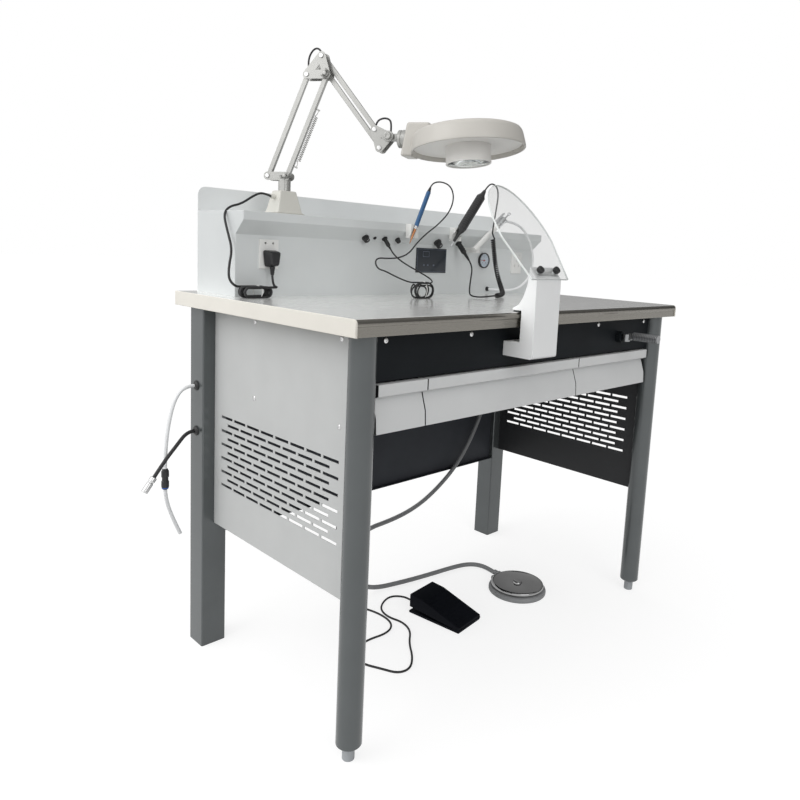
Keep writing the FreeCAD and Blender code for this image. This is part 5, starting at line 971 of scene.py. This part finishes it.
def hank(centre, straight, radius, pitch, swell, drift):
    spots, fold, pull_in, turns = [], 6, 0.9665, len(swell)
    for lap in range(turns):
        reach = radius * swell[lap] / pull_in
        oval = []
        for end in (1, -1):
            oval += [(end * place * straight / 2, end * reach) for place in (-1, 0, 1)]
            for step in range(1, fold):
                bend = end * math.pi / 2 - math.pi * step / fold
                oval.append((end * straight / 2 + reach * math.cos(bend), reach * math.sin(bend)))
        for step, (across, rise) in enumerate(oval):
            depth = pitch * (lap + step / len(oval) - turns / 2)
            lift = rise - radius + reach * pull_in
            spots.append(centre + Vector((across + drift[lap], -depth, lift)))
    depth = pitch * turns / 2
    return spots + [centre + Vector((-straight / 2, -depth, radius)),
                    centre + Vector((0.1 * straight, -depth - 0.0004, radius))]


black_flex = finish("black_cord_rubber", (0.012, 0.012, 0.013), 0.45, grain=900, mottle=0.15)
grey_hose = finish("grey_hose_rubber", (0.24, 0.245, 0.25), 0.48, grain=600, mottle=0.08)
white_hose = finish("white_hose_plastic", (0.88, 0.89, 0.90), 0.3, grain=500, relief=0.03,
                    mottle=0.03)
ALONG = Vector((1, 0, 0))

# The lamp's mains cord drops from the base over the console's end into a tied hank on the
# worktop, and rises to its plug.
LAMP_HANK = bench((-476, 415, 12.3))[0]
coil = hank(LAMP_HANK, straight=0.044, radius=0.0095, pitch=0.0058, swell=(1, 0.94, 1, 0.9, 1),
            drift=(0, 0.003, -0.004, 0.002, 0))
gland = Vector((-0.380, 0.2385, 1.015))
plug_foot = Vector((PLUG_X, PLUG_Y, 0.8448))
run = [gland, gland + Vector((-0.022, -0.004, 0.006)), *bench(
    (-424, 508, 214), (-458, 505, 192), (-492, 496, 184), (-512, 482, 167), (-513, 464, 133),
    (-513, 444, 96), (-524, 437, 64), (-528, 431, 37))]
run += [coil[0] - ALONG * 0.016, *coil, coil[-1] + ALONG * 0.020,
        plug_foot + Vector((-0.006, -0.0325, -0.0225)), plug_foot + Vector((0, -0.003, -0.022)),
        plug_foot]
lamp_flex = dress(cord_line("lamp_flex", run, 0.005), black_flex, "lamp_cord", "lamp_hank")

# The pen's cord leaves its plug, is tied in loose loops on the worktop, and swings up over the
# console to the pen's tail.
PEN_HANK = bench((-75, 335, 19.2))[0]
coil = hank(PEN_HANK, straight=0.026, radius=0.017, pitch=0.0042, swell=(1, 0.76, 1.02, 0.82, 1),
            drift=(0, -0.006, 0.005, 0.007, 0))
plug_end = soffit_spot(PEN_JACK, 0.037)
pen_end = PEN_TIP + PEN_WAY * 0.152
run = [plug_end, plug_end + SOFFIT_DOWN * 0.016, *bench(
    (-90, 386, 80), (-62, 364, 62), (-44, 344, 48), (-46, 330, 40))]
run += [coil[-1] + ALONG * 0.014, *coil[::-1], coil[0] - ALONG * 0.016, *bench(
    (-122, 352, 42), (-148, 358, 52), (-172, 361, 62), (-190, 365, 66), (-195, 371, 81),
    (-182, 376, 91), (-150, 380, 90), (-110, 384, 92), (-74, 386, 104), (-52, 386, 128),
    (-22, 386, 152), (24, 386, 180), (62, 387, 213), (76, 388, 248), (66, 391, 276),
    (36, 396, 285)), pen_end + PEN_WAY * 0.014, pen_end]
pen_flex = dress(cord_line("pen_flex", run, 0.0035), black_flex, "pen_cord", "pen_hank")


# The handpiece's cord is plain at its ends and tightly curled between them. The curl hangs from
# the handpiece's loop and lies along the worktop.
def curl(axis_points, radius, turns, lead):
    carrier = smooth_line("curl_guide", axis_points, 24)
    traced = bpy.data.meshes.new_from_object(carrier)
    dots = [corner.co.copy() for corner in traced.vertices]
    bpy.data.objects.remove(carrier)
    bpy.data.meshes.remove(traced)
    runs = [0.0]
    for before, after in zip(dots, dots[1:]):
        runs.append(runs[-1] + (after - before).length)
    spots, side, place = [], None, 0
    per_turn, pull_in = 12, 0.966
    for step in range(turns * per_turn + 1):
        travelled = runs[-1] * step / (turns * per_turn)
        while place < len(dots) - 2 and runs[place + 1] < travelled:
            place += 1
        along = (dots[place + 1] - dots[place]).normalized()
        spot = dots[place] + along * (travelled - runs[place])
        if side is None:
            side = along.cross(Vector((0.3, 0.9, 0.1)))
            spots += [spot - along * (lead + 0.004), spot - along * lead]
        side = (side - along * side.dot(along)).normalized()
        angle = 2 * math.pi * step / per_turn
        outward = side * math.cos(angle) + along.cross(side) * math.sin(angle)
        spots.append(spot + outward * radius / pull_in)
    return spots + [spot + along * lead, spot + along * (lead + 0.004)]


coil = curl(bench((229, 380, 152), (237, 378, 104), (236, 364, 58), (226, 336, 18), (200, 310, 7),
                  (156, 296, 7)), radius=0.0046, turns=40, lead=0.014)
plug_end = soffit_spot(TOOL_JACK, 0.059)
hand_end = HAND_TIP + HAND_WAY * 0.194
run = [plug_end, plug_end + SOFFIT_DOWN * 0.022, *bench(
    (134, 368, 46), (108, 348, 20), (86, 326, 6), (82, 300, 4), (98, 286, 5))]
run += [coil[-1] + (coil[-1] - coil[-2]).normalized() * 0.018, *coil[::-1], *bench(
    (230, 381, 194), (236, 381, 228), (246, 384, 270), (244, 389, 292), (231, 396, 300)),
    hand_end + HAND_WAY * 0.016, hand_end]
hand_flex = dress(cord_line("handpiece_flex", run, 0.004), black_flex, "handpiece_cord",
                  "handpiece_curl")

# The air gun's white hose stands in one open loop, from the stub at the gun's side to the port
# low on the console's face.
stub_end = STUB_SPOT + Vector((0.018, 0, 0))
port_end = PORT_SPOT + Vector((0, -0.0082, 0))
run = [stub_end, stub_end + Vector((0.026, 0, -0.001)), *bench(
    (372, 399, 193), (404, 398, 170), (428, 398, 138), (440, 398, 98), (432, 398, 58),
    (404, 399, 30), (368, 401, 15), (331, 406, 12))]
run += [port_end + Vector((0.003, -0.026, 0)), port_end]
gun_hose = dress(cord_line("gun_hose", run, 0.0065), white_hose, "air_gun_hose")

# Two short black cables bridge the lamp's joints: one over the elbow, and one from the last bar
# to the rim of the head's lug.
PIN = 0.0031
top_out, top_up = ELBOW_TOP
run = [lamp_point(*spot) for spot in (
    (ELBOW_REAR - 0.0005, 0.005, ELBOW_Z + PIN), (ELBOW_REAR - 0.005, 0.005, ELBOW_Z + 0.020),
    (ELBOW_REAR - 0.002, 0.003, ELBOW_Z + 0.042), (ELBOW_REAR + 0.012, 0, ELBOW_Z + 0.057),
    (top_out - 0.006, -0.004, top_up + 0.015), (top_out - 0.0005, -0.005, top_up + PIN))]
elbow_cable = dress(cord_line("elbow_cable", run, 0.004), black_flex, "lamp_elbow_cable")
top_out, top_up = WRIST_TOP
rim = TILT_Z + 0.0092
run = [lamp_point(*spot) for spot in (
    (top_out, -0.005, top_up + PIN), (top_out + 0.0005, -0.005, top_up + 0.017),
    (top_out + 0.017, -0.006, top_up + 0.025), (top_out + 0.033, -0.008, top_up + 0.021),
    (TILT_OUT + 0.0045, -0.0098, rim + 0.013), (TILT_OUT + 0.004, -0.0098, rim))]
head_cable = dress(cord_line("head_cable", run, 0.004), black_flex, "lamp_head_cable")

# The foot control's grey hose runs along the floor, turns up behind the legs and ends in a
# coupling under the worktop.
hose_start = FOOT_SPOT + Vector((0, 0, 0.008)) + PORT_WAY * 0.100
hose_end = Vector((0.432, 0.2435, 0.700))
run = [hose_start, hose_start + PORT_WAY * 0.034, *ground(
    (268, 400, 8), (240, 422, 8), (190, 433, 8), (120, 442, 8), (34, 456, 8), (-78, 484, 8),
    (-124, 494, 54), (-124, 507, 118), (-80, 517, 163), (49, 521, 165), (142, 522, 184),
    (219, 521, 223), (288, 521, 272), (342, 520, 338), (382, 520, 404), (412, 520, 480),
    (430, 520, 560)), hose_end + Vector((0.0005, 0, -0.076)), hose_end]
foot_line = dress(cord_line("foot_line", run, 0.012), grey_hose, "foot_hose")

# The pedal's black cord wanders over the floor in loose bends, then climbs behind the legs to
# the underside of the bench.
pedal_exit = Vector((PEDAL_X, PEDAL_Y, 0.003)) + PEDAL_WAY * PEDAL_HALF_LONG
on_floor = [(across, depth, 3) for across, depth in (
    (-22, 404), (-48, 428), (-86, 416), (-116, 390), (-124, 350), (-112, 312), (-124, 270),
    (-164, 234), (-197, 187), (-232, 158), (-264, 164), (-280, 200), (-300, 240), (-296, 276),
    (-268, 300), (-226, 306), (-182, 299), (-150, 309), (-132, 336), (-130, 380), (-142, 424),
    (-160, 462))]
run = [pedal_exit, pedal_exit + PEDAL_WAY * 0.030]
run += ground(*on_floor, (-172, 496, 18), (-168, 508, 56))
CLIMB, CLIMB_FOOT, CLIMB_TOP = 11, 56, 770
for step in range(CLIMB - 1):
    height = CLIMB_FOOT + (CLIMB_TOP - CLIMB_FOOT) * (step + 1) / CLIMB
    run += ground((-166 + 5 * (-1) ** step, 509 + 2 * (step % 3), height))
run.append(Vector((-0.165, 0.2345, CLIMB_TOP * MM)))
pedal_flex = dress(cord_line("pedal_flex", run, 0.005), black_flex, "pedal_cord")

# Wire ties hold the two hanks together at the middle. Each is a ring of white wire, drawn out
# to the shape of its hank.
tie_wire = finish("white_tie_wire", (0.70, 0.70, 0.68), 0.4, grain=500, relief=0.05)
ties = []
for spot, half_deep, half_tall in ((LAMP_HANK + ALONG * 0.006, 0.0178, 0.0125),
                                   (PEN_HANK + ALONG * 0.003, 0.0135, 0.0205)):
    bpy.ops.object.select_all(action="DESELECT")
    bpy.ops.mesh.primitive_torus_add(major_radius=1, minor_radius=0.06, major_segments=48,
                                     minor_segments=10)
    tie = bpy.context.active_object
    tie.data.transform(Matrix.Rotation(math.radians(90), 4, "Y"))
    tie.data.transform(Matrix.Diagonal((0.017, half_deep, half_tall, 1)))
    tie.data.transform(Matrix.Translation(spot))
    ties.append(smooth(tie))
trim(joined("hank_ties", ties), tie_wire, "lamp_hank")

# At the rear left leg two black grommets let the supply lines out: a white air tube with a push
# coupling, and the black mains cable with a metal end sleeve.
AIR_SPOT, MAINS_SPOT = Vector((-0.536, 0.2835, 0.598)), Vector((-0.536, 0.2835, 0.497))
GROMMET = ((11, 0), (11, 1.6), (10.4, 2.2), (10.4, 2.8), (9.8, 3.4), (8.2, 4.2), (7.2, 5.6),
           (6.2, 6), (4.6, 6), (4.4, 4.5), (2, 4.5))
COUPLING = ((4.8, 0), (6.2, 1.2), (6.2, 4), (7.8, 5), (8, 7), (8, 18), (6.6, 19.5), (6.6, 26.5),
            (8, 28), (8, 39), (7.8, 41), (6.2, 42), (6.2, 44.8), (4.8, 46), (2, 46))
RELEASE_RING = ((6.4, 40.8), (7.2, 41.2), (7.2, 43.8), (6.4, 44.2), (5, 44.2))
SLEEVE = ((4.8, 0), (7, 1.5), (7, 10), (5.8, 11.2), (5.8, 13.5), (7, 14.8), (7, 34.5), (6.4, 36),
          (5.2, 36), (5, 30), (1, 30))


def hanging(spot, *steps):
    return [spot + Vector(step) * MM for step in steps]


run = hanging(AIR_SPOT, (0, 0, 0), (-20, 0, 0), (-38, 0, -16), (-50, 0, -44), (-60, 0, -92),
              (-65, 0, -145), (-65, 0, -174))
supply = [turned("leg_grommet", GROMMET, spot + ALONG * 0.006, -ALONG)
          for spot in (AIR_SPOT, MAINS_SPOT)]
supply.append(turned("air_coupling", COUPLING, run[-1], -UP))
dress(joined("supply_line_fittings", supply), black_plastic, "supply_fittings")
blue_ring = finish("blue_release_ring", (0.02, 0.10, 0.42), 0.35)
ring = trim(turned("release_ring", RELEASE_RING, run[-1], -UP), blue_ring, "supply_fittings")
air_tube = dress(cord_line("air_tube", run, 0.008), white_hose, "air_supply_tube")
run = hanging(AIR_SPOT, (-65, 0, -220), (-64, 0, -236), (-58, 0, -262), (-46, 0, -294),
              (-31, 0, -328))
air_end = trim(cord_line("air_tube_end", run, 0.008), white_hose, "air_supply_tube")
run = hanging(MAINS_SPOT, (0, 0, 0), (-16, 0, 0), (-44, -8, -25), (-72, -15, -50), (-97, -18, -81))
sleeve = turned("mains_sleeve", SLEEVE, run[-1], (run[-1] - run[-2]).normalized())
trim(sleeve, bright_steel, "supply_fittings")
mains = dress(cord_line("mains_flex", run, 0.008), black_flex, "mains_cable")
